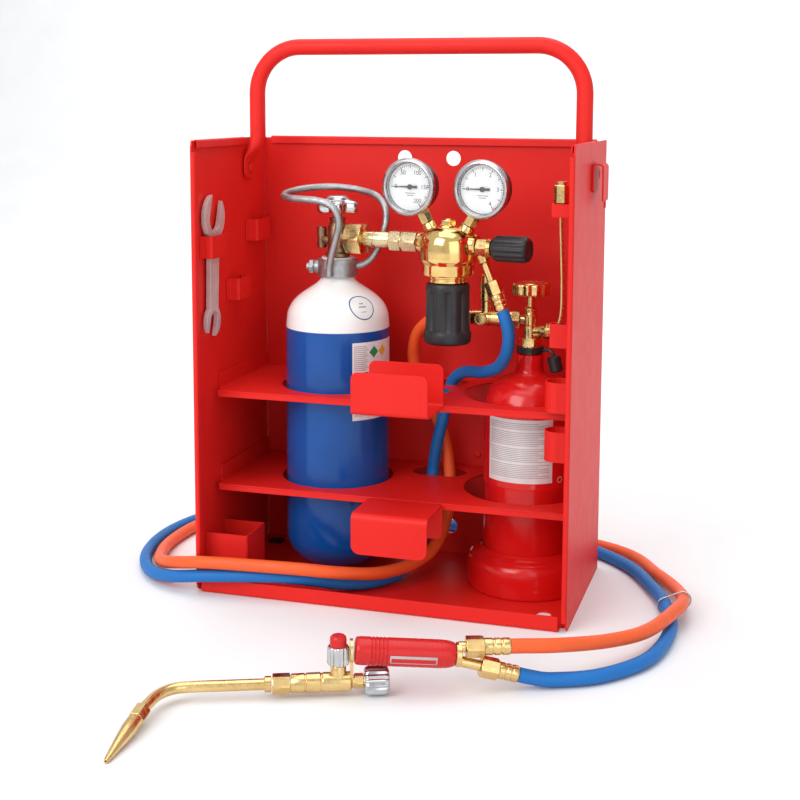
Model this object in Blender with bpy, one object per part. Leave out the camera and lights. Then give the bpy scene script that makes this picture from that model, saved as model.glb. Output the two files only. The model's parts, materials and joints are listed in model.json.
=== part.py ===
"""Portable gas brazing set: a folded sheet-metal carrying rack with an oxygen cylinder, a
propane bottle, a regulator with two gauges, twin hoses and a hand torch.

Lengths are in metres. The rack's own corner frame has X from the left panel, Y from the open
front to the back and Z from the floor; ASSEMBLY moves it so that the centre of the rack's
underside is the origin.
"""

import math

import bmesh
import bpy
from mathutils import Matrix, Vector

# ---------------------------------------------------------------- driving dimensions
RACK_W = 0.353
RACK_D = 0.180
RACK_H = 0.425
SHEET = 0.0015
GAP = 0.0003
HEM_REACH = 0.0050
HEM_LENGTH = 0.0085
LIP_SHEET = 0.0013
FRONT_LIP_H = 0.0143

SHELF_FRONT = 0.041
LOWER_SHELF_Z = 0.0947
UPPER_SHELF_Z = 0.1862
SHELF_FLANGE = 0.014

OXYGEN_X = 0.1045
OXYGEN_Y = 0.109
OXYGEN_R = 0.0505
OXYGEN_HOLE_R = 0.0545
OXYGEN_SHOULDER_Z = 0.2435

PROPANE_X = 0.2940
PROPANE_Y = 0.1165
PROPANE_R = 0.0425
PROPANE_FOOT_R = 0.0568
PROPANE_HOLE_X = 0.2912
PROPANE_HOLE_R = 0.0588

HOSE_SLOT_X = 0.198
HOSE_SLOT_Y = 0.1475

HANDLE_R = 0.0078
HANDLE_Y = 0.129
HANDLE_TOP = 0.521
HANDLE_OUTER_X = 0.0058
HANDLE_BEND_R = 0.045
PIVOT_Z = 0.395
PIVOT_HOLE_R = 0.0032
PIVOT_PIN_R = 0.0028

REGULATOR_YAW = math.radians(-11)
REGULATOR_Z = 0.330

TORCH_X = 0.0817
TORCH_Y = -0.2267
TORCH_YAW = math.radians(22.1)
TORCH_LINE_Z = 0.0116
HANDLE_PITCH = math.radians(4.4)

HOSE_D = 0.0118

# ---------------------------------------------------------------- scene and looks
RED = (0.70, 0.012, 0.015, 1)
BLUE = (0.010, 0.085, 0.36, 1)
WHITE = (0.80, 0.80, 0.78, 1)
BRASS = (0.72, 0.50, 0.20, 1)
GALVANISED = (0.42, 0.43, 0.43, 1)
BLACK = (0.015, 0.015, 0.017, 1)
CHROME = (0.75, 0.76, 0.78, 1)
ORANGE = (0.75, 0.16, 0.04, 1)
HOSE_BLUE = (0.012, 0.16, 0.50, 1)
STEEL = (0.50, 0.47, 0.44, 1)
COPPER = (0.70, 0.33, 0.20, 1)

for old in list(bpy.data.objects):
    bpy.data.objects.remove(old, do_unlink=True)


def look(name, colour, roughness, metallic):
    """One Principled material."""
    mat = bpy.data.materials.new(name)
    mat.use_nodes = True
    shader = mat.node_tree.nodes["Principled BSDF"]
    shader.inputs["Base Color"].default_value = colour
    shader.inputs["Roughness"].default_value = roughness
    shader.inputs["Metallic"].default_value = metallic
    return mat


RED_PAINT = look("red_paint", RED, 0.35, 0.0)
RED_PLASTIC = look("red_plastic", RED, 0.3, 0.0)
BLUE_PAINT = look("blue_paint", BLUE, 0.3, 0.0)
BRASS_METAL = look("brass_metal", BRASS, 0.25, 1.0)
GREY_ZINC = look("grey_zinc", GALVANISED, 0.45, 0.9)
BLACK_PLASTIC = look("black_plastic", BLACK, 0.45, 0.0)
BRIGHT_CHROME = look("bright_chrome", CHROME, 0.12, 1.0)
DIAL_WHITE = look("dial_white", WHITE, 0.5, 0.0)
LENS = look("lens", (0.9, 0.95, 0.95, 0.3), 0.05, 0.0)
ORANGE_RUBBER = look("orange_rubber", ORANGE, 0.5, 0.0)
BLUE_RUBBER = look("blue_rubber", HOSE_BLUE, 0.5, 0.0)
TOOL_STEEL = look("tool_steel", STEEL, 0.35, 1.0)
COPPER_TUBE = look("copper_tube", COPPER, 0.3, 1.0)


def empty(name, place, parent=None):
    """A frame that pieces hang on."""
    frame = bpy.data.objects.new(name, None)
    bpy.context.scene.collection.objects.link(frame)
    frame.parent = parent
    frame.matrix_local = place
    return frame


ASSEMBLY = empty("assembly", Matrix.Translation((-RACK_W / 2, -RACK_D / 2, 0)))


def piece(name, bm, mat, parent=ASSEMBLY, place=None, angle=35):
    """Turns a closed bmesh into a named, smoothly shaded object."""
    bmesh.ops.remove_doubles(bm, verts=bm.verts, dist=1e-7)
    bmesh.ops.recalc_face_normals(bm, faces=bm.faces)
    mesh = bpy.data.meshes.new(name)
    bm.to_mesh(mesh)
    bm.free()
    mesh.materials.append(mat)
    mesh.shade_smooth()
    mesh.set_sharp_from_angle(angle=math.radians(angle))
    made = bpy.data.objects.new(name, mesh)
    bpy.context.scene.collection.objects.link(made)
    made.parent = parent
    made.matrix_local = place or Matrix.Identity(4)
    return made


def combine(target, bm, operation):
    """Joins another closed shape to a piece, or cuts it out. The shape is in the piece's frame."""
    tool = piece("tool", bm, RED_PAINT, target)
    step = target.modifiers.new("step", "BOOLEAN")
    step.operation = operation
    step.solver = "EXACT"
    step.object = tool
    bpy.context.view_layer.update()
    graph = bpy.context.evaluated_depsgraph_get()
    result = bpy.data.meshes.new_from_object(target.evaluated_get(graph))
    target.modifiers.clear()
    kept = target.data.materials[0]
    target.data = result
    result.materials.clear()
    result.materials.append(kept)
    bpy.data.objects.remove(tool, do_unlink=True)
    result.shade_smooth()
    result.set_sharp_from_angle(angle=math.radians(35))
    return target


def fuse(target, bm):
    """Adds a shape to a piece as one body."""
    return combine(target, bm, "UNION")


def cut(target, bm):
    """Removes a shape from a piece."""
    return combine(target, bm, "DIFFERENCE")


# ---------------------------------------------------------------- shape tools
def lift(plane, a, b, c):
    """A point from two coordinates in a plane and one along the plane's normal."""
    if plane == "XY":
        return Vector((a, b, c))
    if plane == "XZ":
        return Vector((a, c, b))
    return Vector((c, a, b))


def prism(outline, low, high, plane="XY"):
    """A closed outline pushed from low to high along the normal of its plane."""
    bm = bmesh.new()
    floor = [bm.verts.new(lift(plane, a, b, low)) for a, b in outline]
    roof = [bm.verts.new(lift(plane, a, b, high)) for a, b in outline]
    bm.faces.new(floor)
    bm.faces.new(roof)
    for i in range(len(outline)):
        j = (i + 1) % len(outline)
        bm.faces.new((floor[i], floor[j], roof[j], roof[i]))
    return bm


def box(low, high):
    """A box between two corners."""
    outline = [(low[0], low[1]), (high[0], low[1]), (high[0], high[1]), (low[0], high[1])]
    return prism(outline, low[2], high[2])


def arc(cx, cy, radius, start, end, steps):
    """Points along an arc, angles in degrees."""
    turns = [math.radians(start + (end - start) * i / steps) for i in range(steps + 1)]
    return [(cx + radius * math.cos(t), cy + radius * math.sin(t)) for t in turns]


def obround(cx, cy, length, width, steps=8):
    """A slot with round ends along the first axis."""
    half = (length - width) / 2
    right = arc(cx + half, cy, width / 2, -90, 90, steps)
    left = arc(cx - half, cy, width / 2, 90, 270, steps)
    return right + left


def ring_of(bm, centre, axis_u, axis_v, ru, rv, count, turn=0.0):
    """A ring of vertices on an ellipse."""
    verts = []
    for i in range(count):
        t = turn + 2 * math.pi * i / count
        verts.append(bm.verts.new(centre + axis_u * ru * math.cos(t) + axis_v * rv * math.sin(t)))
    return verts


def bridge(bm, first, second):
    """Faces between two equal rings."""
    for i in range(len(first)):
        j = (i + 1) % len(first)
        bm.faces.new((first[i], first[j], second[j], second[i]))


def turned(profile, count=32, closed=False, turn=0.0):
    """A profile of (radius, height) points turned about Z. A radius of 0 closes on the axis."""
    bm = bmesh.new()
    x, y = Vector((1, 0, 0)), Vector((0, 1, 0))
    rows = []
    for radius, height in profile:
        centre = Vector((0, 0, height))
        if radius < 1e-7:
            rows.append([bm.verts.new(centre)])
        else:
            rows.append(ring_of(bm, centre, x, y, radius, radius, count, turn))
    pairs = list(zip(rows, rows[1:]))
    if closed:
        pairs.append((rows[-1], rows[0]))
    for first, second in pairs:
        if len(first) > 1 and len(second) > 1:
            bridge(bm, first, second)
        elif len(first) > 1 or len(second) > 1:
            tip = first[0] if len(first) == 1 else second[0]
            rim = second if len(first) == 1 else first
            for i in range(len(rim)):
                bm.faces.new((tip, rim[i], rim[(i + 1) % len(rim)]))
    return bm


def solid_turned(profile, count=24, turn=0.0):
    """A turned solid whose first and last rims are closed by flat faces."""
    ends = [(0.0, profile[0][1])] + list(profile) + [(0.0, profile[-1][1])]
    return turned(ends, count, False, turn)


def aim(bm, place):
    """Moves a whole bmesh."""
    bmesh.ops.transform(bm, matrix=place, verts=bm.verts)
    return bm


def swept(points, sizes, count=12, turn=0.0):
    """A rod along points. Each size is a radius, or a (sideways, upward) pair of radii."""
    bm = bmesh.new()
    path = [Vector(p) for p in points]
    side = None
    rows = []
    for i, here in enumerate(path):
        before = path[max(i - 1, 0)]
        after = path[min(i + 1, len(path) - 1)]
        along = (after - before).normalized()
        if side is None:
            pick = Vector((0, 1, 0)) if abs(along.y) < 0.9 else Vector((1, 0, 0))
            side = along.cross(pick).normalized()
        side = (side - along * side.dot(along)).normalized()
        up = along.cross(side)
        size = sizes[i] if isinstance(sizes, (list, tuple)) else sizes
        ru, rv = size if isinstance(size, tuple) else (size, size)
        rows.append(ring_of(bm, here, side, up, ru, rv, count, turn))
    for first, second in zip(rows, rows[1:]):
        bridge(bm, first, second)
    bm.faces.new(rows[0])
    bm.faces.new(rows[-1])
    return bm


def smooth_path(points, step):
    """Points every step or so along a smooth curve through the route's own points."""
    route = [Vector(p) for p in points]
    before = route[0] * 2 - route[1]
    after = route[-1] * 2 - route[-2]
    knots = [before] + route + [after]
    dense = []
    for i in range(1, len(knots) - 2):
        p0, p1, p2, p3 = knots[i - 1 : i + 3]
        for k in range(24):
            t = k / 24
            a = p1 * 2
            b = (p2 - p0) * t
            c = (p0 * 2 - p1 * 5 + p2 * 4 - p3) * t * t
            d = (p1 * 3 - p0 - p2 * 3 + p3) * t * t * t
            dense.append((a + b + c + d) / 2)
    dense.append(route[-1])
    length = sum((b - a).length for a, b in zip(dense, dense[1:]))
    spans = max(1, round(length / step))
    even = [dense[0]]
    walked = 0.0
    for a, b in zip(dense, dense[1:]):
        piece_length = (b - a).length
        while len(even) < spans and walked + piece_length >= length * len(even) / spans:
            share = (length * len(even) / spans - walked) / piece_length
            even.append(a.lerp(b, share))
        walked += piece_length
    even.append(dense[-1])
    return even


def hem(x, y, towards, side, reach=HEM_REACH, length=HEM_LENGTH):
    """A path that comes to an edge and folds back on itself, for a strip 2-D path.

    (x, y) is the sheet's middle at the edge, towards is the direction of travel before the
    fold, and side is the direction that the fold leans to.
    """
    radius = reach * 0.36
    tx, ty = towards
    sx, sy = side
    cx, cy = x - tx * radius + sx * radius, y - ty * radius + sy * radius
    path = []
    for k in range(5):
        t = math.radians(180 - 38 * k)
        path.append((cx + radius * (sx * math.cos(t) + tx * math.sin(t)),
                     cy + radius * (sy * math.cos(t) + ty * math.sin(t))))
    lean = reach - SHEET - radius * 1.85
    path.append((path[-1][0] - tx * (length - radius * 1.4) + sx * lean,
                 path[-1][1] - ty * (length - radius * 1.4) + sy * lean))
    return path


def corner(path, radius=0.002, steps=3):
    """Rounds the inner points of a 2-D path."""
    done = [path[0]]
    for a, b, c in zip(path, path[1:], path[2:]):
        va, vb, vc = Vector(a), Vector(b), Vector(c)
        u, v = (va - vb).normalized(), (vc - vb).normalized()
        half = u.angle(v) / 2
        back = radius / math.tan(half)
        centre = vb + (u + v).normalized() * (radius / math.sin(half))
        start, end = vb + u * back - centre, vb + v * back - centre
        for k in range(steps + 1):
            mix = start.lerp(end, k / steps).normalized() * radius
            done.append(tuple(centre + mix))
    done.append(path[-1])
    return done


def strip(path, thickness, low, high, plane, round_start=0.0, round_end=0.0):
    """A folded sheet strip: a 2-D path with a thickness, wide from low to high.

    The two ends can have rounded corners in the sheet's own plane.
    """
    points = [Vector(p) for p in path]

    def add_stations(points, radius):
        steps = [radius * (1 - math.cos(math.radians(90 * k / 4))) for k in range(1, 5)]
        first, second = points[0], points[1]
        direction = (second - first).normalized()
        return [first] + [first + direction * s for s in steps] + points[1:]

    widths = {}
    if round_start:
        points = add_stations(points, round_start)
    if round_end:
        points = add_stations(points[::-1], round_end)[::-1]
    walked = [0.0]
    for a, b in zip(points, points[1:]):
        walked.append(walked[-1] + (b - a).length)
    total = walked[-1]
    for i, s in enumerate(walked):
        inset = 0.0
        if round_start and s < round_start:
            inset = round_start - math.sqrt(max(0.0, round_start**2 - (round_start - s) ** 2))
        if round_end and total - s < round_end:
            r = round_end
            inset = r - math.sqrt(max(0.0, r**2 - (r - total + s) ** 2))
        widths[i] = min(inset, (high - low) * 0.45)
    bm = bmesh.new()
    rows = []
    for i, here in enumerate(points):
        before = (here - points[i - 1]).normalized() if i else None
        after = (points[i + 1] - here).normalized() if i < len(points) - 1 else None
        along = ((before or after) + (after or before)).normalized()
        normal = Vector((-along.y, along.x))
        reach = thickness / 2
        if before and after:
            reach /= max(0.4, along.dot(before))
        left, right = here + normal * reach, here - normal * reach
        inset = widths[i]
        rows.append([bm.verts.new(lift(plane, p[0], p[1], c)) for p, c in
                     ((left, low + inset), (left, high - inset),
                      (right, high - inset), (right, low + inset))])
    for first, second in zip(rows, rows[1:]):
        bridge(bm, first, second)
    bm.faces.new(rows[0])
    bm.faces.new(rows[-1])
    return bm


def tilt_to(direction, position):
    """A placement whose Z axis points along a direction."""
    turn = Vector((0, 0, 1)).rotation_difference(Vector(direction))
    return Matrix.Translation(position) @ turn.to_matrix().to_4x4()


def hexagon(across_flats, low, high, chamfer=0.0006):
    """A hexagonal nut body along Z, with its ends chamfered."""
    corner_r = across_flats / math.sqrt(3)
    profile = [(corner_r - chamfer * 1.4, low), (corner_r, low + chamfer),
               (corner_r, high - chamfer), (corner_r - chamfer * 1.4, high)]
    return solid_turned(profile, 6)


# ---------------------------------------------------------------- rack
def side_panel(name, mirrored):
    """A side panel: its front edge and the front part of its top edge fold inwards."""
    def across(x):
        return RACK_W - x if mirrored else x

    inward = -1 if mirrored else 1
    mid = SHEET / 2
    r = 0.008
    outline = [(RACK_D, 0), (RACK_D, RACK_H), (0.003, RACK_H), (0.0012, RACK_H - 0.006)]
    outline += [(0.0012, r)] + arc(0.0012 + r, r, r, 180, 270, 4)[1:]
    low, high = sorted((across(0), across(SHEET)))
    panel = piece(name, prism(outline, low, high, "YZ"), RED_PAINT)
    front = [(across(mid), 0.016)] + hem(across(mid), 0.0, (0, -1), (inward, 0))
    fuse(panel, strip(front, LIP_SHEET, 0.009, RACK_H - 0.0105, "XY"))
    top = [(across(mid), RACK_H - 0.016)] + hem(across(mid), RACK_H, (0, 1), (inward, 0))
    fuse(panel, strip(top, LIP_SHEET, 0.0075, HANDLE_Y - HANDLE_R - 0.0022, "XZ"))
    hole = solid_turned([(PIVOT_HOLE_R, -0.01), (PIVOT_HOLE_R, 0.01)], 16)
    cut(panel, aim(hole, tilt_to((1, 0, 0), (across(mid), HANDLE_Y, PIVOT_Z))))
    return panel


def back_panel():
    """The back, between the side panels, with a folded top edge and four wall holes."""
    edge = SHEET + GAP
    mid = RACK_D - SHEET / 2
    outline = [(edge, 0), (RACK_W - edge, 0), (RACK_W - edge, RACK_H - 0.0012)]
    outline += [(edge, RACK_H - 0.0012)]
    panel = piece("back_panel", prism(outline, RACK_D - SHEET, RACK_D, "XZ"), RED_PAINT)
    top = [(mid, RACK_H - 0.016)] + hem(mid, RACK_H, (0, 1), (-1, 0))
    fuse(panel, strip(top, LIP_SHEET, 0.009, RACK_W - 0.009, "YZ"))
    for x, z in ((0.1514, 0.4050), (0.2016, 0.4050), (0.1514, 0.0293), (0.2016, 0.0293)):
        hole = solid_turned([(0.0075, -0.01), (0.0075, 0.01)], 20)
        cut(panel, aim(hole, tilt_to((0, 1, 0), (x, mid, z))))
    return panel


def base_tray():
    """The floor, with an upright front lip between the side panels' hems."""
    edge = SHEET + GAP
    lip_left, lip_right = 0.0056, RACK_W - 0.0078
    outline = [(edge, RACK_D - edge), (edge, 0.0125), (lip_left, 0.0125), (lip_left, 0.006)]
    outline += [(lip_right, 0.006), (lip_right, 0.0125), (RACK_W - edge, 0.0125)]
    outline += [(RACK_W - edge, RACK_D - edge)]
    tray = piece("base_tray", prism(outline, 0.0, SHEET), RED_PAINT)
    path = corner([(0.016, SHEET / 2), (0.0010, SHEET / 2), (0.0010, FRONT_LIP_H)], 0.0018)
    fuse(tray, strip(path, LIP_SHEET, lip_left, lip_right, "YZ"))
    for x, y in ((0.027, 0.0375), (0.326, 0.0375), (0.0185, 0.158), (0.3345, 0.158)):
        hole = solid_turned([(0.007, -0.01), (0.007, 0.01)], 16)
        cut(tray, aim(hole, Matrix.Translation((x, y, 0))))
    return tray


def shelf(name, top, slot_y, front_hole):
    """A shelf that locates both bottles, with a slot behind them for the hoses."""
    edge = SHEET + GAP
    notch = 0.0062
    back = RACK_D - edge
    left, right = edge, RACK_W - edge
    outline = [(left, back), (left, 0.054), (notch, 0.054), (notch, SHELF_FRONT)]
    outline += [(RACK_W - notch, SHELF_FRONT), (RACK_W - notch, 0.054), (right, 0.054)]
    outline += [(right, back)]
    made = piece(name, prism(outline, top - SHEET, top), RED_PAINT)
    middle = top - SHEET / 2
    front = corner([(0.055, middle), (SHELF_FRONT + 0.0009, middle),
                    (SHELF_FRONT + 0.0009, top - 0.0062)], 0.0014)
    fuse(made, strip(front, LIP_SHEET, notch + 0.0002, RACK_W - notch - 0.0002, "YZ"))
    for turn in (0, 1):
        mid = right - SHEET / 2 if turn else left + SHEET / 2
        inner = mid - 0.004 if turn else mid + 0.004
        path = corner([(inner, middle), (mid, middle), (mid, top + SHELF_FLANGE)], 0.0012)
        fuse(made, strip(path, LIP_SHEET, 0.0545, back - 0.001, "XZ", round_end=0.003))
    cut(made, aim(solid_turned([(OXYGEN_HOLE_R, -0.01), (OXYGEN_HOLE_R, 0.01)], 48),
                  Matrix.Translation((OXYGEN_X, OXYGEN_Y, top))))
    cut(made, aim(solid_turned([(PROPANE_HOLE_R, -0.003), (PROPANE_HOLE_R, 0.003)], 48),
                  Matrix.Translation((PROPANE_HOLE_X, PROPANE_Y, top - SHEET / 2))))
    cut(made, prism(obround(HOSE_SLOT_X, slot_y, 0.056, 0.034), top - 0.01, top + 0.01))
    if front_hole:
        x, y, radius = front_hole
        cut(made, aim(solid_turned([(radius, -0.01), (radius, 0.01)], 24),
                      Matrix.Translation((x, y, top))))
    return made


def hose_hooks():
    """Two channels on the shelves' front edges: hoses are wound round both for carrying."""
    rear = SHELF_FRONT - GAP - SHEET / 2
    front = -0.0130
    low, high = 0.1592, 0.2300
    upper_floor = UPPER_SHELF_Z - SHEET / 2
    lower_roof = LOWER_SHELF_Z - SHEET / 2
    upper = corner([(rear, 0.2245), (rear, upper_floor), (front, upper_floor), (front, 0.2235)],
                   0.0035, 4)
    piece("upper_hose_hook", strip(upper, SHEET, low, high, "YZ", 0.006, 0.006), RED_PAINT)
    lower = corner([(rear, 0.0610), (rear, lower_roof), (front, lower_roof), (front, 0.0575)],
                   0.0050, 4)
    piece("lower_hose_hook", strip(lower, SHEET, low, high, "YZ", 0.006, 0.008), RED_PAINT)


def parts_pocket():
    """A small open box in the left front corner for nozzles and seals."""
    near = SHEET + GAP
    path = corner([(near, 0.0192), (0.0442, 0.0192), (0.0442, 0.0632), (near, 0.0632)], 0.0015)
    piece("parts_pocket", strip(path, SHEET, near, 0.0525, "XY"), RED_PAINT)


def bridge_clip(name, x, inward, y_low, y_high, reach, z_low, z_high):
    """A strap bridged off a side panel, with a weld foot at each end."""
    foot = 0.007
    near = x + inward * (SHEET / 2 + GAP)
    far = x + inward * reach
    path = corner([(near, y_low - foot), (near, y_low), (far, y_low), (far, y_high),
                   (near, y_high), (near, y_high + foot)], 0.0012, 2)
    return piece(name, strip(path, SHEET, z_low, z_high, "XY"), RED_PAINT)


def round_clip(name, x, y, radius, z_low, z_high):
    """A half-round strap on the right panel that holds the torch upright."""
    near = RACK_W - SHEET - GAP - SHEET / 2
    outer = radius + SHEET / 2
    bow = arc(x, y, outer, -75, -285, 10)
    path = [(near, y - outer - 0.007), (near, y - outer)] + bow + [(near, y + outer)]
    path += [(near, y + outer + 0.005)]
    return piece(name, strip(path, SHEET, z_low, z_high, "XY"), RED_PAINT)


def side_hook():
    """A hanging hook bent off the right panel's outer face."""
    near = RACK_W + GAP + SHEET / 2
    far = near + 0.0090
    path = corner([(near, 0.3800), (near, 0.4050), (far, 0.4050), (far, 0.3720)], 0.0025)
    hook = piece("side_hook", strip(path, SHEET, 0.092, 0.122, "XZ", 0.003, 0.003), RED_PAINT)
    tongue = prism([(0.1035, 0.376), (0.1105, 0.376), (0.1105, 0.3655), (0.1035, 0.3655)],
                   far - LIP_SHEET / 2, far + LIP_SHEET / 2, "YZ")
    fuse(hook, tongue)


def carry_handle():
    """A bent tube with flattened ends that turn on two rivets."""
    plate_x = SHEET + GAP + 0.00185
    tube_x = HANDLE_OUTER_X + HANDLE_R
    bend = HANDLE_BEND_R
    top = HANDLE_TOP - HANDLE_R
    leg = [(plate_x, 0.3846, 0.0018, 0.0060), (plate_x, 0.3868, 0.00185, 0.0100),
           (plate_x, 0.3905, 0.00185, 0.0122), (plate_x, 0.4010, 0.00185, 0.0128),
           (plate_x + 0.0012, 0.4070, 0.0028, 0.0120), (tube_x - 0.0040, 0.4140, 0.0058, 0.0100),
           (tube_x - 0.0008, 0.4210, 0.0074, 0.0083), (tube_x, 0.4270, HANDLE_R, HANDLE_R)]
    for x, z in arc(tube_x + bend, top - bend, bend, 180, 90, 9):
        leg.append((x, z, HANDLE_R, HANDLE_R))
    whole = leg + [(RACK_W - x, z, ru, rv) for x, z, ru, rv in reversed(leg)]
    points = [(x, 0, z - PIVOT_Z) for x, z, ru, rv in whole]
    sizes = [(ru, rv) for x, z, ru, rv in whole]
    pivot = empty("handle_axis", Matrix.Translation((0, HANDLE_Y, PIVOT_Z)), ASSEMBLY)
    handle = piece("carry_handle", swept(points, sizes, 16), RED_PAINT, pivot, angle=50)
    hole = solid_turned([(PIVOT_HOLE_R, -0.01), (PIVOT_HOLE_R, RACK_W + 0.01)], 16)
    cut(handle, aim(hole, tilt_to((1, 0, 0), (0, 0, 0))))


def handle_rivet(name, mirrored):
    """A domed rivet through a side panel and one end of the handle."""
    inner = SHEET + GAP + 0.0037 + GAP
    profile = [(0.0, -0.0023), (0.0032, -0.0020), (0.0050, -0.0012), (0.0055, -GAP)]
    profile += [(PIVOT_PIN_R, -GAP), (PIVOT_PIN_R, inner), (0.0052, inner)]
    profile += [(0.0046, inner + 0.0012), (0.0028, inner + 0.0018), (0.0, inner + 0.0020)]
    x = RACK_W if mirrored else 0.0
    place = tilt_to((-1 if mirrored else 1, 0, 0), (x, HANDLE_Y, PIVOT_Z))
    piece(name, aim(turned(profile, 16), place), RED_PAINT)


side_panel("left_side_panel", False)
side_panel("right_side_panel", True)
back_panel()
base_tray()
shelf("lower_shelf", LOWER_SHELF_Z, HOSE_SLOT_Y, None)
shelf("upper_shelf", UPPER_SHELF_Z, HOSE_SLOT_Y, (0.196, 0.1045, 0.0235))
hose_hooks()
parts_pocket()
bridge_clip("spanner_clip", SHEET, 1, 0.0200, 0.0530, 0.0105, 0.3150, 0.3360)
bridge_clip("tool_clip_rear", SHEET, 1, 0.1300, 0.1620, 0.0105, 0.3215, 0.3430)
bridge_clip("tool_clip_lower", SHEET, 1, 0.0810, 0.1090, 0.0105, 0.2680, 0.2890)
round_clip("torch_clip_upper", 0.3375, 0.0345, 0.0115, 0.1905, 0.2175)
round_clip("torch_clip_lower", 0.3375, 0.0345, 0.0115, 0.1465, 0.1735)
side_hook()
carry_handle()
handle_rivet("handle_rivet_left", False)
handle_rivet("handle_rivet_right", True)


# ---------------------------------------------------------------- oxygen cylinder
def lobed(rows, lobes, steps_per_lobe, power=1.0):
    """A turned solid whose radius waves round its axis. Each row is (radius, depth, height)."""
    bm = bmesh.new()
    total = lobes * steps_per_lobe
    rings = []
    for radius, depth, height in rows:
        verts = []
        for i in range(total):
            t = 2 * math.pi * i / total
            wave = (0.5 + 0.5 * math.cos(lobes * t)) ** power
            r = radius - depth * (1 - wave)
            verts.append(bm.verts.new((r * math.cos(t), r * math.sin(t), height)))
        rings.append(verts)
    for first, second in zip(rings, rings[1:]):
        bridge(bm, first, second)
    bm.faces.new(rings[0])
    bm.faces.new(rings[-1])
    return bm


def oxygen_cylinder():
    """A thick steel shell with a domed base, open at the neck."""
    wall = 0.0035
    base_r, base_h, base_z = OXYGEN_R, 0.035, 0.0368
    outer = [(base_r * math.sin(math.radians(a)), base_z - base_h * math.cos(math.radians(a)))
             for a in (0, 25, 45, 62, 77, 90)]
    outer += [(OXYGEN_R, OXYGEN_SHOULDER_Z), (0.0500, 0.2500), (0.0485, 0.2590)]
    outer += [(0.0435, 0.2680), (0.0360, 0.2750), (0.0275, 0.2808), (0.0205, 0.2856)]
    outer += [(0.0168, 0.2895), (0.0155, 0.2920), (0.0155, 0.3110)]
    inner = [(0.0100, 0.3110), (0.0100, 0.2830), (0.0240, 0.2765), (0.0390, 0.2660)]
    inner += [(0.0470, 0.2480), (OXYGEN_R - wall, 0.0368), (0.0330, 0.0150)]
    inner += [(0.0, base_z - base_h + 0.0045)]
    piece("oxygen_cylinder", turned(outer + inner, 28), BLUE_PAINT, ASSEMBLY,
          Matrix.Translation((OXYGEN_X, OXYGEN_Y, 0)))


def valve_guard():
    """A rod bent round the handwheel, welded to the split band that clamps the neck."""
    band = [(0.0158, 0.2923), (0.0193, 0.2923), (0.0193, 0.3097), (0.0158, 0.3097)]
    place = Matrix.Translation((OXYGEN_X, OXYGEN_Y, 0))
    guard = piece("valve_guard", turned(band, 24, True), GREY_ZINC, ASSEMBLY, place)
    bolt = tilt_to((-1, -0.1, 0), (-0.0165, -0.0020, 0.3010))
    fuse(guard, aim(solid_turned([(0.0060, 0), (0.0060, 0.0065)], 16), bolt))
    fuse(guard, aim(hexagon(0.0125, 0.0060, 0.0115), bolt))
    fuse(guard, aim(solid_turned([(0.0032, 0.010), (0.0032, 0.0140), (0.0022, 0.0150)], 12), bolt))
    route = [(0.1035, 0.0868, 0.2945), (0.1038, 0.0864, 0.3030), (0.1075, 0.0835, 0.3170),
             (0.1128, 0.0803, 0.3320), (0.1160, 0.0790, 0.3450), (0.1135, 0.0790, 0.3565),
             (0.1055, 0.0795, 0.3640), (0.0940, 0.0800, 0.3672), (0.0790, 0.0815, 0.3680),
             (0.0640, 0.0862, 0.3683), (0.0548, 0.0945, 0.3695), (0.0515, 0.1055, 0.3710),
             (0.0535, 0.1175, 0.3728), (0.0610, 0.1290, 0.3748), (0.0730, 0.1380, 0.3762),
             (0.0880, 0.1430, 0.3766), (0.1050, 0.1440, 0.3755), (0.1220, 0.1405, 0.3730),
             (0.1370, 0.1330, 0.3690), (0.1462, 0.1265, 0.3610), (0.1500, 0.1215, 0.3500),
             (0.1482, 0.1190, 0.3360), (0.1420, 0.1178, 0.3190), (0.1355, 0.1165, 0.3090),
             (0.1290, 0.1138, 0.3040), (0.1222, 0.1112, 0.3025)]
    rod = swept(smooth_path(route, 0.0095), 0.0034, 8)
    fuse(guard, aim(rod, place.inverted()))


def oxygen_valve():
    """The cylinder valve with its side outlet and safety port."""
    place = Matrix.Translation((OXYGEN_X, OXYGEN_Y, 0)) @ Matrix.Rotation(REGULATOR_YAW, 4, "Z")
    profile = [(0.0085, 0.2960), (0.0095, 0.2975), (0.0095, 0.3113), (0.0120, 0.3113)]
    profile += [(0.0120, 0.3150), (0.0095, 0.3165), (0.0095, 0.3420), (0.0078, 0.3440)]
    profile += [(0.0078, 0.3495), (0.0040, 0.3500), (0.0040, 0.3535)]
    body = piece("oxygen_valve_body", solid_turned(profile, 20), BRASS_METAL, ASSEMBLY, place)
    outlet = solid_turned([(0.0080, 0), (0.0080, 0.0155)], 20)
    fuse(body, aim(outlet, tilt_to((1, 0, 0), (0, 0, REGULATOR_Z))))
    port = solid_turned([(0.0050, 0), (0.0050, 0.0150), (0.0038, 0.0165)], 12)
    fuse(body, aim(port, tilt_to((-1, -0.15, 0), (0, 0, 0.3270))))
    drum = solid_turned([(0.0040, -0.0075), (0.0046, -0.0065), (0.0046, 0.0120), (0.0036, 0.0130)], 12)
    fuse(body, aim(drum, Matrix.Translation((-0.0165, -0.0025, 0.3270))))


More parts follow.
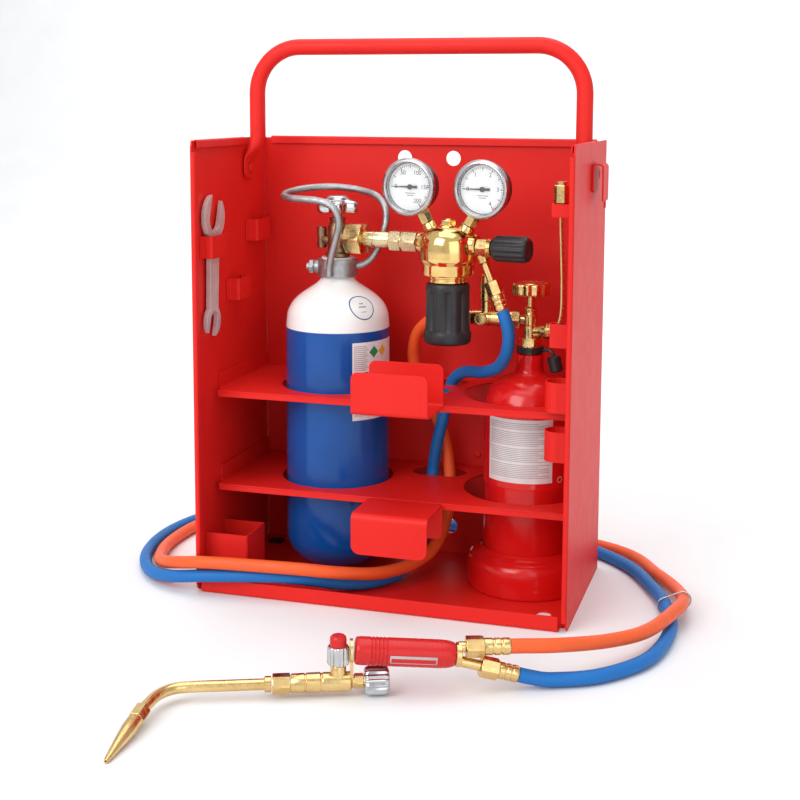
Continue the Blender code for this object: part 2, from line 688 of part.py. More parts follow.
def oxygen_handwheel():
    """A lobed wheel on the valve spindle."""
    axis = empty("oxygen_wheel_axis", Matrix.Translation((OXYGEN_X, OXYGEN_Y, 0.3540)), ASSEMBLY)
    rows = [(0.0160, 0.0050, 0.0000), (0.0195, 0.0062, 0.0012), (0.0205, 0.0065, 0.0035)]
    rows += [(0.0205, 0.0065, 0.0085), (0.0190, 0.0060, 0.0110), (0.0130, 0.0025, 0.0128)]
    rows += [(0.0105, 0.0, 0.0150), (0.0070, 0.0, 0.0168)]
    piece("oxygen_handwheel", lobed(rows, 5, 6), BRIGHT_CHROME, axis, angle=40)


# ---------------------------------------------------------------- regulator
def regulator_frame():
    """The regulator's own frame: X along its inlet, Z up, origin on the cylinder's axis."""
    place = Matrix.Translation((OXYGEN_X, OXYGEN_Y, 0)) @ Matrix.Rotation(REGULATOR_YAW, 4, "Z")
    return empty("regulator_frame", place, ASSEMBLY)


REGULATOR = regulator_frame()
BODY_S = 0.1190
GAUGE_S = (0.0830, 0.1570)
GAUGE_Z = 0.3820
GAUGE_FACE = -0.0110
STEM_ROOT = 0.0140
STEM_ROOT_Z = 0.3360
STEM_REACH = 0.0140
TAIL_START = Vector((0.1530, 0.0, 0.3220))
TAIL_END = Vector((0.1742, 0.0, 0.2712))
TAIL_AIM = (TAIL_END - TAIL_START).normalized()


def along_x(bm, z):
    """Lays a shape turned about Z along the regulator's X axis."""
    return aim(bm, tilt_to((1, 0, 0), (0, 0, z)))


def inlet_parts():
    """The union nut and the inlet stem with its flats."""
    nut = hexagon(0.0280, 0.0124, 0.0308, 0.0012)
    nut_piece = piece("inlet_nut", along_x(nut, REGULATOR_Z), BRASS_METAL, REGULATOR)
    cut(nut_piece, along_x(solid_turned([(0.0083, 0.0), (0.0083, 0.05)], 20), REGULATOR_Z))
    stem = solid_turned([(0.0060, 0.0158), (0.0078, 0.0170), (0.0078, 0.0560), (0.0070, 0.0575),
                         (0.0070, 0.0625)], 20)
    stem_piece = piece("inlet_stem", along_x(stem, REGULATOR_Z), BRASS_METAL, REGULATOR)
    fuse(stem_piece, along_x(hexagon(0.0180, 0.0590, 0.0882, 0.0010), REGULATOR_Z))


def regulator_body():
    """The forged body with its diaphragm housing, inlet and outlet bosses."""
    profile = [(0.0180, 0.2936), (0.0180, 0.3000), (0.0225, 0.3004), (0.0240, 0.3018)]
    profile += [(0.0240, 0.3105), (0.0255, 0.3125), (0.0270, 0.3160), (0.0270, 0.3280)]
    profile += [(0.0255, 0.3355), (0.0215, 0.3415), (0.0160, 0.3450), (0.0100, 0.3470)]
    body = piece("regulator_body", solid_turned(profile, 24), BRASS_METAL, REGULATOR,
                 Matrix.Translation((BODY_S, 0, 0)))
    fuse(body, hexagon(0.0130, 0.3440, 0.3535, 0.0008))
    for side in (-1, 1):
        boss = solid_turned([(0.0100, 0.0180), (0.0100, 0.0290), (0.0090, 0.0302)], 20)
        fuse(body, aim(boss, tilt_to((side, 0, 0), (0, 0, REGULATOR_Z))))
        mount = solid_turned([(0.0070, 0.0), (0.0070, STEM_REACH)], 16)
        fuse(body, aim(mount, tilt_to((side * 0.5, 0, 0.866), (side * STEM_ROOT, 0, STEM_ROOT_Z))))


def pressure_knob():
    """The fluted adjusting knob under the body."""
    axis = empty("pressure_axis", Matrix.Translation((BODY_S, 0, 0.2360)), REGULATOR)
    rows = [(0.0190, 0.0, 0.0000), (0.0215, 0.0, 0.0015), (0.0222, 0.0, 0.0110)]
    rows += [(0.0216, 0.0002, 0.0122), (0.0216, 0.0028, 0.0140), (0.0211, 0.0030, 0.0490)]
    rows += [(0.0209, 0.0002, 0.0510), (0.0204, 0.0, 0.0560), (0.0190, 0.0, 0.0573)]
    piece("pressure_knob", lobed(rows, 8, 4, 0.5), BLACK_PLASTIC, axis, angle=30)


def gauge(name, index):
    """A pressure gauge: case and bezel with its stem, dial, pointer and lens."""
    s = GAUGE_S[index]
    side = -1 if index == 0 else 1
    face = Matrix.Translation((s, GAUGE_FACE, GAUGE_Z)) @ Matrix.Rotation(math.radians(90), 4, "X")
    frame = empty(name + "_axis", face, REGULATOR)
    case = [(0.0, -0.0180), (0.0210, -0.0180), (0.0236, -0.0165), (0.0240, -0.0030)]
    case += [(0.0268, -0.0022), (0.0272, 0.0008), (0.0262, 0.0034), (0.0240, 0.0040)]
    case += [(0.0226, 0.0030), (0.0226, 0.0023), (0.0238, 0.0023), (0.0238, 0.0004)]
    case += [(0.0226, 0.0004), (0.0226, -0.0040), (0.0, -0.0040)]
    body = piece(name + "_case", turned(case, 24), GREY_ZINC, frame)
    lean = Vector((side * 0.5, 0.866, 0))
    reach = STEM_REACH + GAP
    foot = Vector((BODY_S + side * STEM_ROOT - s, STEM_ROOT_Z - GAUGE_Z, GAUGE_FACE)) + lean * reach
    fuse(body, aim(hexagon(0.0115, 0.0, 0.0150), tilt_to(lean, foot)))
    dial = solid_turned([(0.0222, -0.0037), (0.0222, -0.0029)], 24)
    piece(name + "_dial", dial, DIAL_WHITE, frame)
    lens = solid_turned([(0.0234, 0.0008), (0.0234, 0.0019)], 24)
    piece(name + "_glass", lens, LENS, frame)
    hand = [(-0.0175, 0.0002), (-0.0175, -0.0002), (-0.0020, -0.0008), (0.0075, -0.0013)]
    hand += [(0.0075, 0.0013), (-0.0020, 0.0008)]
    pointer = piece(name + "_pointer", prism(hand, -0.0020, -0.0014), BLACK_PLASTIC, frame)
    fuse(pointer, solid_turned([(0.0024, -0.0025), (0.0024, -0.0010), (0.0018, -0.0006)], 14))


def outlet_valve():
    """The outlet shut-off: hexagonal body, collar, hose tail and its black knob."""
    z = 0.3280
    body = hexagon(0.0160, 0.1495, 0.1600, 0.0010)
    valve = piece("outlet_valve_body", along_x(body, z), BRASS_METAL, REGULATOR)
    collar = solid_turned([(0.0070, 0.1590), (0.0086, 0.1605), (0.0086, 0.1640), (0.0040, 0.1648),
                           (0.0040, 0.1700)], 20)
    fuse(valve, along_x(collar, z))
    tail = solid_turned([(0.0052, 0.0), (0.0052, 0.0080), (0.0037, 0.0095), (0.0037, 0.0262)], 14)
    fuse(valve, aim(tail, tilt_to(TAIL_AIM, TAIL_START)))
    axis = empty("outlet_knob_axis", tilt_to((1, 0, 0), (0.1662, 0, z)), REGULATOR)
    rows = [(0.0100, 0.0, 0.0), (0.0112, 0.0003, 0.0010), (0.0121, 0.0010, 0.0030)]
    rows += [(0.0123, 0.0012, 0.0290), (0.0115, 0.0006, 0.0325), (0.0095, 0.0, 0.0345)]
    knob = piece("outlet_valve_knob", lobed(rows, 14, 2), BLACK_PLASTIC, axis, angle=30)
    cut(knob, solid_turned([(0.0045, -0.0010), (0.0045, 0.0042)], 12))


def hose_fitting(name, start, direction, parent, nut_flats, nut_length, ferrule_length):
    """A hose end: union nut, then the crimped ferrule that the hose goes into."""
    n = nut_length
    end = n + ferrule_length
    fitting = piece(name, aim(hexagon(nut_flats, 0.0, n, 0.0008), tilt_to(direction, start)),
                    BRASS_METAL, parent)
    profile = [(0.0052, n - 0.0005), (0.0066, n + 0.0010), (0.0068, end - 0.0010), (0.0062, end)]
    fuse(fitting, aim(solid_turned(profile, 16), tilt_to(direction, start)))
    return fitting


oxygen_cylinder()
valve_guard()
oxygen_valve()
oxygen_handwheel()
inlet_parts()
regulator_body()
pressure_knob()
gauge("contents_gauge", 0)
gauge("outlet_gauge", 1)
outlet_valve()
hose_fitting("oxygen_hose_fitting", TAIL_START + TAIL_AIM * 0.0266, TAIL_AIM, REGULATOR,
             0.0130, 0.0135, 0.0150)


# ---------------------------------------------------------------- propane bottle
def propane_bottle():
    """A small welded bottle, open at the neck."""
    outer = [(0.0, 0.0140), (0.0200, 0.0150), (0.0320, 0.0195), (0.0395, 0.0270)]
    outer += [(PROPANE_R, 0.0370), (PROPANE_R, 0.1740), (0.0412, 0.1830), (0.0370, 0.1925)]
    outer += [(0.0300, 0.1992), (0.0220, 0.2035), (0.0158, 0.2060), (0.0136, 0.2090)]
    outer += [(0.0130, 0.2140), (0.0130, 0.2252)]
    inner = [(0.0092, 0.2252), (0.0092, 0.2040), (0.0240, 0.1995), (0.0350, 0.1900)]
    inner += [(0.0403, 0.1735), (0.0403, 0.0380), (0.0300, 0.0215), (0.0, 0.0165)]
    piece("propane_bottle", turned(outer + inner, 24), RED_PAINT, ASSEMBLY,
          Matrix.Translation((PROPANE_X, PROPANE_Y, 0)))


def bottle_foot():
    """The flared foot ring, with a shallow arch cut in its lower edge."""
    outer = [(0.0429, 0.0400), (0.0460, 0.0368), (0.0520, 0.0335), (0.0555, 0.0300)]
    outer += [(PROPANE_FOOT_R, 0.0255), (PROPANE_FOOT_R, 0.0026), (0.0560, 0.0018)]
    inner = [(0.0552, 0.0018), (0.0552, 0.0250), (0.0540, 0.0285), (0.0510, 0.0318)]
    inner += [(0.0450, 0.0350), (0.0429, 0.0370)]
    foot = piece("bottle_foot", turned(outer + inner, 28, True), RED_PAINT, ASSEMBLY,
                 Matrix.Translation((PROPANE_X, PROPANE_Y, 0)))
    cut(foot, box((-0.0180, -0.08, -0.01), (0.0450, -0.02, 0.0046)))


def propane_valve():
    """The bottle valve: gland, hexagon, vertical body, side outlet and hose branch."""
    place = Matrix.Translation((PROPANE_X, PROPANE_Y, 0))
    profile = [(0.0080, 0.2120), (0.0088, 0.2135), (0.0088, 0.2255), (0.0105, 0.2255)]
    profile += [(0.0105, 0.2330), (0.0070, 0.2330), (0.0070, 0.2620), (0.0055, 0.2640)]
    profile += [(0.0055, 0.2700), (0.0040, 0.2705), (0.0040, 0.2790)]
    valve = piece("propane_valve_body", solid_turned(profile, 18), BRASS_METAL, ASSEMBLY, place)
    fuse(valve, hexagon(0.0190, 0.2325, 0.2405, 0.0008))
    outlet = solid_turned([(0.0060, 0.0), (0.0060, 0.0110), (0.0072, 0.0150), (0.0080, 0.0225)], 16)
    fuse(valve, aim(outlet, tilt_to((1, -0.12, 0.10), (0, 0, 0.2460))))
    branch = solid_turned([(0.0055, 0.0), (0.0055, 0.0090)], 14)
    fuse(valve, aim(branch, tilt_to((-1, 0, 0), (0, 0, 0.2570))))


def propane_handwheel():
    """A scalloped brass wheel."""
    axis = empty("propane_wheel_axis", Matrix.Translation((PROPANE_X, PROPANE_Y, 0.2793)), ASSEMBLY)
    rows = [(0.0060, 0.0, 0.0), (0.0062, 0.0, 0.0012), (0.0172, 0.0014, 0.0020)]
    rows += [(0.0182, 0.0018, 0.0035), (0.0182, 0.0018, 0.0115), (0.0174, 0.0014, 0.0128)]
    rows += [(0.0130, 0.0, 0.0118), (0.0060, 0.0, 0.0130)]
    piece("propane_handwheel", lobed(rows, 12, 2), BRASS_METAL, axis, angle=35)


def valve_cap():
    """The black outlet cap on its lanyard ring."""
    ring = [(0.0108, 0.2262), (0.0132, 0.2268), (0.0132, 0.2318), (0.0108, 0.2322)]
    place = Matrix.Translation((PROPANE_X, PROPANE_Y, 0))
    cap = piece("valve_cap", turned(ring, 20, True), BLACK_PLASTIC, ASSEMBLY, place)
    strap = smooth_path([(0.0122, -0.0020, 0.2290), (0.0170, -0.0030, 0.2300),
                         (0.0215, -0.0040, 0.2285), (0.0235, -0.0045, 0.2240)], 0.0035)
    fuse(cap, swept(strap, 0.0018, 8))
    body = solid_turned([(0.0050, -0.0080), (0.0064, -0.0068), (0.0064, 0.0060), (0.0050, 0.0070)], 14)
    fuse(cap, aim(body, tilt_to((-0.25, 0.05, 1), (0.0250, -0.0048, 0.2175))))


FUEL_Z = 0.2570
FUEL_LEFT = 0.2370


def fuel_guard():
    """The hose-burst guard between the propane valve and its hose."""
    right = PROPANE_X - 0.0093
    body = solid_turned([(0.0060, 0.0), (0.0076, 0.0012), (0.0076, right - 0.0072 - FUEL_LEFT)], 18)
    guard = piece("fuel_guard", aim(body, tilt_to((1, 0, 0), (FUEL_LEFT, PROPANE_Y, FUEL_Z))),
                  BRASS_METAL)
    nut = hexagon(0.0155, right - 0.0076 - FUEL_LEFT, right - FUEL_LEFT, 0.0008)
    fuse(guard, aim(nut, tilt_to((1, 0, 0), (FUEL_LEFT, PROPANE_Y, FUEL_Z))))
    face = solid_turned([(0.0062, 0.0), (0.0062, 0.0088), (0.0052, 0.0098)], 16)
    fuse(guard, aim(face, tilt_to((0, -1, 0), (0.2475, PROPANE_Y, FUEL_Z))))
    riser = solid_turned([(0.0058, 0.0), (0.0058, 0.0160), (0.0066, 0.0175), (0.0066, 0.0400),
                          (0.0050, 0.0418)], 16)
    fuse(guard, aim(riser, Matrix.Translation((0.2515, PROPANE_Y, FUEL_Z))))
    ferrule = solid_turned([(0.0062, 0.0), (0.0068, 0.0010), (0.0068, 0.0118), (0.0060, 0.0126)], 16)
    fuse(guard, aim(ferrule, tilt_to((1, 0, 0), (FUEL_LEFT - 0.0120, PROPANE_Y, FUEL_Z))))


propane_bottle()
bottle_foot()
propane_valve()
propane_handwheel()
valve_cap()
fuel_guard()


# ---------------------------------------------------------------- stored tools
def spanner():
    """A double open-ended spanner that hangs in the front clip."""
    axis = empty("spanner_frame", Matrix.Translation((0.0036, 0.0345, 0.3026))
                 @ Matrix.Rotation(math.radians(-3), 4, "X"), ASSEMBLY)
    thick = 0.0045
    large = (0.0500, 0.0220, 0.0230, 15)
    small = (-0.0480, 0.0150, 0.0150, 195)
    shaft = [(-0.0090, -0.0420), (0.0090, -0.0420), (0.0098, 0.0380), (-0.0098, 0.0380)]
    tool = piece("spanner", prism(shaft, 0, thick, "YZ"), TOOL_STEEL, axis)
    for centre, radius, _, _ in (large, small):
        fuse(tool, prism(arc(0.0, centre, radius, 0, 345, 23), 0.0001, thick - 0.0001, "YZ"))
    for centre, _, jaw, turn in (large, small):
        side, along = math.sin(math.radians(turn)), math.cos(math.radians(turn))
        half = jaw / 2
        slot = [(half, -0.002), (half, 0.05), (-half, 0.05), (-half, -0.002)]
        slot += arc(0.0, -0.002, half, 180, 360, 8)[1:-1]
        outline = [(a * along + b * side, centre - a * side + b * along) for a, b in slot]
        cut(tool, prism(outline, -0.01, 0.02, "YZ"))


def spare_tip():
    """A spare nozzle: a brass nut on a thin copper tube, hung in two clips."""
    x, y = 0.3360, 0.0345
    axis = empty("spare_tip_frame", Matrix.Translation((x, y, 0.3739)), ASSEMBLY)
    tip = piece("spare_tip", hexagon(0.0115, 0.0, 0.0160, 0.0008), BRASS_METAL, axis)
    fuse(tip, solid_turned([(0.0046, 0.0150), (0.0046, 0.0190)], 12))
    tube = smooth_path([(0.0, 0, 0.0050), (0.0, 0, -0.0150), (0.0012, 0, -0.0450),
                        (0.0022, 0, -0.0750), (0.0016, 0, -0.0980), (-0.0018, 0, -0.1120),
                        (-0.0042, 0, -0.1240)], 0.009)
    fuse(tip, swept(tube, 0.0017, 8))


spanner()
spare_tip()
for clip_name, clip_low, clip_high in (("tip_clip_upper", 0.3620, 0.3735),
                                       ("tip_clip_lower", 0.2475, 0.2685)):
    bridge_clip(clip_name, RACK_W - SHEET, -1, 0.0288, 0.0402, 0.0225, clip_low, clip_high)


# ---------------------------------------------------------------- torch
TORCH = empty("torch_frame", Matrix.Translation((TORCH_X, TORCH_Y, TORCH_LINE_Z))
              @ Matrix.Rotation(TORCH_YAW, 4, "Z"), ASSEMBLY)


def torch_neck():
    """The gas tube: straight, then bent round to the nozzle."""
    route = [(0.0805, 0, 0), (0.0600, 0, 0), (0.0400, 0, 0), (0.0220, 0, 0), (0.0090, -0.0010, 0),
             (0.0000, -0.0060, 0), (-0.0065, -0.0140, 0), (-0.0110, -0.0240, -0.0004),
             (-0.0150, -0.0340, -0.0012)]
    neck = piece("torch_neck", swept(smooth_path(route, 0.006), 0.0044, 14), BRASS_METAL, TORCH)
    ring = solid_turned([(0.0058, 0.0752), (0.0062, 0.0757), (0.0062, 0.0800), (0.0058, 0.0804)], 18)
    fuse(neck, aim(ring, tilt_to((1, 0, 0), (0, 0, 0))))
    union = hexagon(0.0140, 0.0812, 0.0952, 0.0010)
    nut = piece("torch_union_nut", aim(union, tilt_to((1, 0, 0), (0, 0, 0))), BRASS_METAL, TORCH)
    return nut


NOZZLE_START = Vector((-0.01515, -0.0344, -0.00125))
NOZZLE_END = Vector((-0.0352, -0.0975, -0.0096))


def torch_nozzle():
    """The nozzle: a hexagonal shoulder and a long cone."""
    aim_at = (NOZZLE_END - NOZZLE_START).normalized()
    length = (NOZZLE_END - NOZZLE_START).length
    profile = [(0.0050, 0.0140), (0.0058, 0.0150), (0.0058, 0.0300), (0.0048, 0.0400)]
    profile += [(0.0022, length - 0.0030), (0.0014, length)]
    place = tilt_to(aim_at, NOZZLE_START)
    nozzle = piece("torch_nozzle", aim(solid_turned(profile, 18), place), COPPER_TUBE, TORCH)
    fuse(nozzle, aim(hexagon(0.0115, 0.0, 0.0145, 0.0008), place))


HANDLE_FRONT = 0.1454
HANDLE_LIFT = 0.0250
HANDLE_TUBE_R = 0.0110
HANDLE_LENGTH = 0.0790


def torch_handle():
    """The red grip, its axis falling slightly to the rear."""
    place = Matrix.Translation((HANDLE_FRONT, 0, HANDLE_LIFT)) @ Matrix.Rotation(
        math.radians(90) + HANDLE_PITCH, 4, "Y")
    r = HANDLE_TUBE_R
    profile = [(r - 0.0022, 0.0), (r - 0.0004, 0.0014), (r, 0.0040), (r, HANDLE_LENGTH - 0.0120)]
    profile += [(r - 0.0008, HANDLE_LENGTH - 0.0040), (r - 0.0026, HANDLE_LENGTH)]
    return piece("torch_handle", aim(solid_turned(profile, 24), place), RED_PLASTIC, TORCH)


def torch_body():
    """The brass valve body under the grip, with the fork up to the fuel valve."""
    profile = [(0.0068, 0.0955), (0.0074, 0.0965), (0.0078, 0.1185), (0.0070, 0.1195)]
    profile += [(0.0076, 0.1205), (0.0076, 0.1420), (0.0050, 0.1435), (0.0050, 0.1560)]
    body = piece("torch_body", aim(solid_turned(profile, 18), tilt_to((1, 0, 0), (0, 0, 0))),
                 BRASS_METAL, TORCH)
    fuse(body, aim(hexagon(0.0105, 0.1450, 0.1520, 0.0006), tilt_to((1, 0, 0), (0, 0, 0))))
    fuse(body, aim(solid_turned([(0.0062, 0.0), (0.0062, 0.0130), (0.0035, 0.0138), (0.0035, 0.0180)], 16),
                   Matrix.Translation((0.1325, 0, 0))))
    fuse(body, box((0.1416, -0.0045, 0.0020), (0.1441, 0.0045, HANDLE_LIFT)))
    fuse(body, aim(solid_turned([(0.0092, 0.1417), (0.0092, 0.1440)], 18),
                   tilt_to((1, 0, 0), (0, 0, HANDLE_LIFT))))


def torch_tail():
    """The manifold behind the grip, with the two hose stubs."""
    rear = Matrix.Translation((HANDLE_FRONT, 0, HANDLE_LIFT)) @ Matrix.Rotation(
        math.radians(90) + HANDLE_PITCH, 4, "Y")
    start = HANDLE_LENGTH + GAP
    tail = piece("torch_tail", aim(solid_turned([(0.0095, start), (0.0095, start + 0.0045)], 18), rear),
                 BRASS_METAL, TORCH)
    for begin, stop in ((UPPER_STUB, UPPER_END), (LOWER_STUB, LOWER_END)):
        stub = solid_turned([(0.0042, 0.0), (0.0042, (stop - begin).length)], 12)
        fuse(tail, aim(stub, tilt_to(stop - begin, begin)))


UPPER_STUB = Vector((0.2270, 0, 0.0250))
UPPER_END = Vector((0.2322, 0, 0.0249))
LOWER_STUB = Vector((0.2270, 0, 0.0136))
LOWER_END = Vector((0.2440, 0, 0.0090))
UPPER_AIM = (UPPER_END - UPPER_STUB).normalized()
LOWER_AIM = (LOWER_END - LOWER_STUB).normalized()


def torch_knobs():
    """Two fluted valve knobs: fuel on top, oxygen behind the body on the torch's line."""
    upper = empty("fuel_knob_axis", Matrix.Translation((0.1325, 0, 0.0145)), TORCH)
    rows = [(0.0078, 0.0004, 0.0), (0.0088, 0.0010, 0.0010), (0.0088, 0.0010, 0.0130)]
    rows += [(0.0080, 0.0004, 0.0145), (0.0066, 0.0, 0.0150), (0.0066, 0.0, 0.0215)]
    rows += [(0.0050, 0.0, 0.0235)]
    knob = piece("torch_fuel_knob", lobed(rows, 10, 2), BRIGHT_CHROME, upper, angle=30)
    cut(knob, solid_turned([(0.0040, -0.0010), (0.0040, 0.0040)], 12))
    lower = empty("oxygen_knob_axis", tilt_to((1, 0, 0), (0.1524, 0, 0)), TORCH)
    rows = [(0.0080, 0.0004, 0.0), (0.0105, 0.0010, 0.0015), (0.0113, 0.0012, 0.0040)]
    rows += [(0.0113, 0.0012, 0.0160), (0.0100, 0.0006, 0.0190), (0.0080, 0.0, 0.0200)]
    knob = piece("torch_oxygen_knob", lobed(rows, 12, 2), BRIGHT_CHROME, lower, angle=30)
    cut(knob, solid_turned([(0.0055, -0.0010), (0.0055, 0.0042)], 14))


torch_neck()
torch_nozzle()
torch_handle()
torch_body()
torch_tail()
torch_knobs()
hose_fitting("torch_fuel_fitting", UPPER_END + UPPER_AIM * GAP, UPPER_AIM, TORCH,
             0.0150, 0.0145, 0.0210)
hose_fitting("torch_oxygen_fitting", LOWER_END + LOWER_AIM * GAP, LOWER_AIM, TORCH,
             0.0150, 0.0145, 0.0165)


# ---------------------------------------------------------------- hoses
# Each route runs from the gas supply to the torch: down through the slots in both shelves,
# forward over the tray's lip, round the left side and behind the rack, then to the front right.
OXYGEN_ROUTE = [
    (0.2757, 0.0757, 0.2707), (0.2791, 0.0750, 0.2624), (0.2818, 0.0772, 0.2480),
    (0.2786, 0.0833, 0.2301), (0.2679, 0.0958, 0.2139), (0.2490, 0.1120, 0.2050),
    (0.2275, 0.1310, 0.2005), (0.2125, 0.1423, 0.1885), (0.2060, 0.1458, 0.1660),
    (0.2005, 0.1436, 0.1420), (0.1950, 0.1450, 0.1180), (0.1910, 0.1470, 0.0900),
    (0.1900, 0.1415, 0.0570), (0.1885, 0.1210, 0.0300), (0.1800, 0.0860, 0.0120),
    (0.1620, 0.0580, 0.0078), (0.1380, 0.0345, 0.0105), (0.1100, 0.0160, 0.0176),
    (0.0800, 0.0045, 0.0216), (0.0440, -0.0038, 0.0214), (0.0080, -0.0072, 0.0188),
    (-0.0250, -0.0025, 0.0136), (-0.0580, 0.0210, 0.0078), (-0.0840, 0.0620, 0.0062),
    (-0.0960, 0.1130, 0.0062), (-0.0930, 0.1680, 0.0062), (-0.0700, 0.2260, 0.0062),
    (-0.0220, 0.2640, 0.0062), (0.0450, 0.2770, 0.0062), (0.1150, 0.2675, 0.0062),
    (0.1820, 0.2520, 0.0062), (0.2600, 0.2390, 0.0062), (0.3300, 0.2220, 0.0062),
    (0.3840, 0.1760, 0.0062), (0.4170, 0.1140, 0.0068), (0.4309, 0.0734, 0.0081),
    (0.4405, 0.0220, 0.0062), (0.4300, -0.0460, 0.0062), (0.3980, -0.0920, 0.0064),
    (0.3620, -0.1133, 0.0070), (0.3452, -0.1197, 0.0097), (0.3362, -0.1234, 0.0123),
]

FUEL_ROUTE = [
    (0.2246, 0.1165, 0.2570), (0.2140, 0.1165, 0.2570), (0.2015, 0.1180, 0.2542),
    (0.1895, 0.1215, 0.2470), (0.1800, 0.1275, 0.2360), (0.1745, 0.1340, 0.2215),
    (0.1732, 0.1395, 0.2050), (0.1770, 0.1445, 0.1860), (0.1845, 0.1500, 0.1670),
    (0.1935, 0.1555, 0.1450), (0.2020, 0.1565, 0.1200), (0.2080, 0.1510, 0.0880),
    (0.2095, 0.1400, 0.0590), (0.2050, 0.1115, 0.0315), (0.1910, 0.0795, 0.0210),
    (0.1680, 0.0440, 0.0210), (0.1380, 0.0160, 0.0275), (0.1000, -0.0005, 0.0330),
    (0.0220, -0.0083, 0.0332), (-0.0130, -0.0025, 0.0282), (-0.0420, 0.0180, 0.0195),
    (-0.0660, 0.0580, 0.0094), (-0.0800, 0.1060, 0.0063), (-0.0790, 0.1620, 0.0062),
    (-0.0630, 0.2100, 0.0062), (-0.0200, 0.2430, 0.0062), (0.0400, 0.2560, 0.0070),
    (0.0920, 0.2560, 0.0115), (0.1300, 0.2600, 0.0178), (0.1650, 0.2635, 0.0190),
    (0.2040, 0.2650, 0.0158), (0.2500, 0.2635, 0.0080), (0.3700, 0.2190, 0.0062),
    (0.4150, 0.1580, 0.0068), (0.4380, 0.1110, 0.0103), (0.4461, 0.0766, 0.0142),
    (0.4440, 0.0410, 0.0182), (0.4255, -0.0200, 0.0195), (0.3990, -0.0640, 0.0245),
    (0.3660, -0.1060, 0.0332), (0.3397, -0.1219, 0.0356), (0.3305, -0.1257, 0.0358),
]
RING_AT = (Vector((0.4309, 0.0734, 0.0081)), Vector((0.4461, 0.0766, 0.0142)))
RING_WIRE = 0.0008


def hose(name, route, mat):
    """A free hose as a bevelled curve along its route."""
    points = smooth_path(route, 0.029)
    points.insert(1, Vector(route[0]).lerp(Vector(route[1]), 0.5))
    points.insert(-1, Vector(route[-1]).lerp(Vector(route[-2]), 0.5))
    curve = bpy.data.curves.new(name, "CURVE")
    curve.dimensions = "3D"
    curve.bevel_depth = HOSE_D / 2
    curve.bevel_resolution = 2
    curve.use_fill_caps = True
    spline = curve.splines.new("POLY")
    spline.points.add(len(points) - 1)
    for target, point in zip(spline.points, points):
        target.co = (point.x, point.y, point.z, 1)
    curve.materials.append(mat)
    made = bpy.data.objects.new(name, curve)
    bpy.context.scene.collection.objects.link(made)
    made.parent = ASSEMBLY


def hose_ring():
    """An oval wire link that keeps the two hoses side by side."""
    first, second = RING_AT
    across = (second - first).normalized()
    along = (Vector((0.14, -0.98, 0.08)) - across * Vector((0.14, -0.98, 0.08)).dot(across)).normalized()
    up = along.cross(across)
    reach = HOSE_D / 2 + GAP * 1.5 + RING_WIRE
    bm = bmesh.new()
    loops = []
    for centre, start in ((second, -90), (first, 90)):
        for step in range(9):
            t = math.radians(start + step * 22.5)
            out = across * math.cos(t) + up * math.sin(t)
            loops.append(ring_of(bm, centre + out * reach, out, along, RING_WIRE, RING_WIRE, 8))
    for i, loop in enumerate(loops):
        bridge(bm, loop, loops[(i + 1) % len(loops)])
    piece("hose_ring", bm, GREY_ZINC)


hose("oxygen_hose", OXYGEN_ROUTE, BLUE_RUBBER)
hose("fuel_hose", FUEL_ROUTE, ORANGE_RUBBER)
hose_ring()
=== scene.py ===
"""Looks of the portable gas welding set: finishes, detailed pieces, hoses, floor, light and camera."""
import json
import math

import bmesh
import bpy
from mathutils import Matrix, Vector


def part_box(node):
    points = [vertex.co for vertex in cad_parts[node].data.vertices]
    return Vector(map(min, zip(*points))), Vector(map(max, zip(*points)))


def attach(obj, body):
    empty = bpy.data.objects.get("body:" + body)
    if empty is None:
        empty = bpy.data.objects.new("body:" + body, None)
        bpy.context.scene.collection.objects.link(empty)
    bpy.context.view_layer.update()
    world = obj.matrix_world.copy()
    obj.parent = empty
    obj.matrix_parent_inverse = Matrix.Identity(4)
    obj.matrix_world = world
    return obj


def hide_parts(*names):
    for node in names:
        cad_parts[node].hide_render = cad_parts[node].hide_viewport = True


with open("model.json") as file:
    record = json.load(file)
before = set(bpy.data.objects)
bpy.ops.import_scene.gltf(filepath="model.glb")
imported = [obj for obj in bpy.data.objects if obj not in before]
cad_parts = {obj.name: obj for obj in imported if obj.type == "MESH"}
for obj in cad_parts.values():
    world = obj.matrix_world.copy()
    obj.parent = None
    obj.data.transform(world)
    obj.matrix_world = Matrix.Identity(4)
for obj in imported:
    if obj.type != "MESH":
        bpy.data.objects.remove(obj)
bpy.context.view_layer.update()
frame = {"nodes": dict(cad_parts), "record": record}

# Shapes and their places are in millimetres. add_piece and hose turn them into the frame's metres.
MM = 0.001
FILM = 0.08  # the thickness of labels and print, which their lift is raised by
AXIS = 0.01  # stands for a radius of nothing, so that every ring keeps its vertices

# ---------------------------------------------------------------- places from the frame
JOINTS = {joint["name"]: joint for joint in frame["record"]["behaviour"]["joints"]}
UP = Vector((0, 0, 1))


def middle(node):
    """The centre of a node's box."""
    low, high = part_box(node)
    return (Vector(low) + Vector(high)) / 2 / MM


def frame_at(point, direction):
    """A frame at a point with its Z along a direction and its Y as near up as it can be."""
    z = Vector(direction).normalized()
    guide = UP if abs(z.dot(UP)) < 0.95 else Vector((0, 1, 0))
    x = guide.cross(z).normalized()
    y = z.cross(x)
    turn = Matrix((x, y, z)).transposed().to_4x4()
    return Matrix.Translation(point) @ turn


def upright(point, angle=0.0):
    """A frame standing at a point, turned about Z."""
    return Matrix.Translation(point) @ Matrix.Rotation(math.radians(angle), 4, "Z")


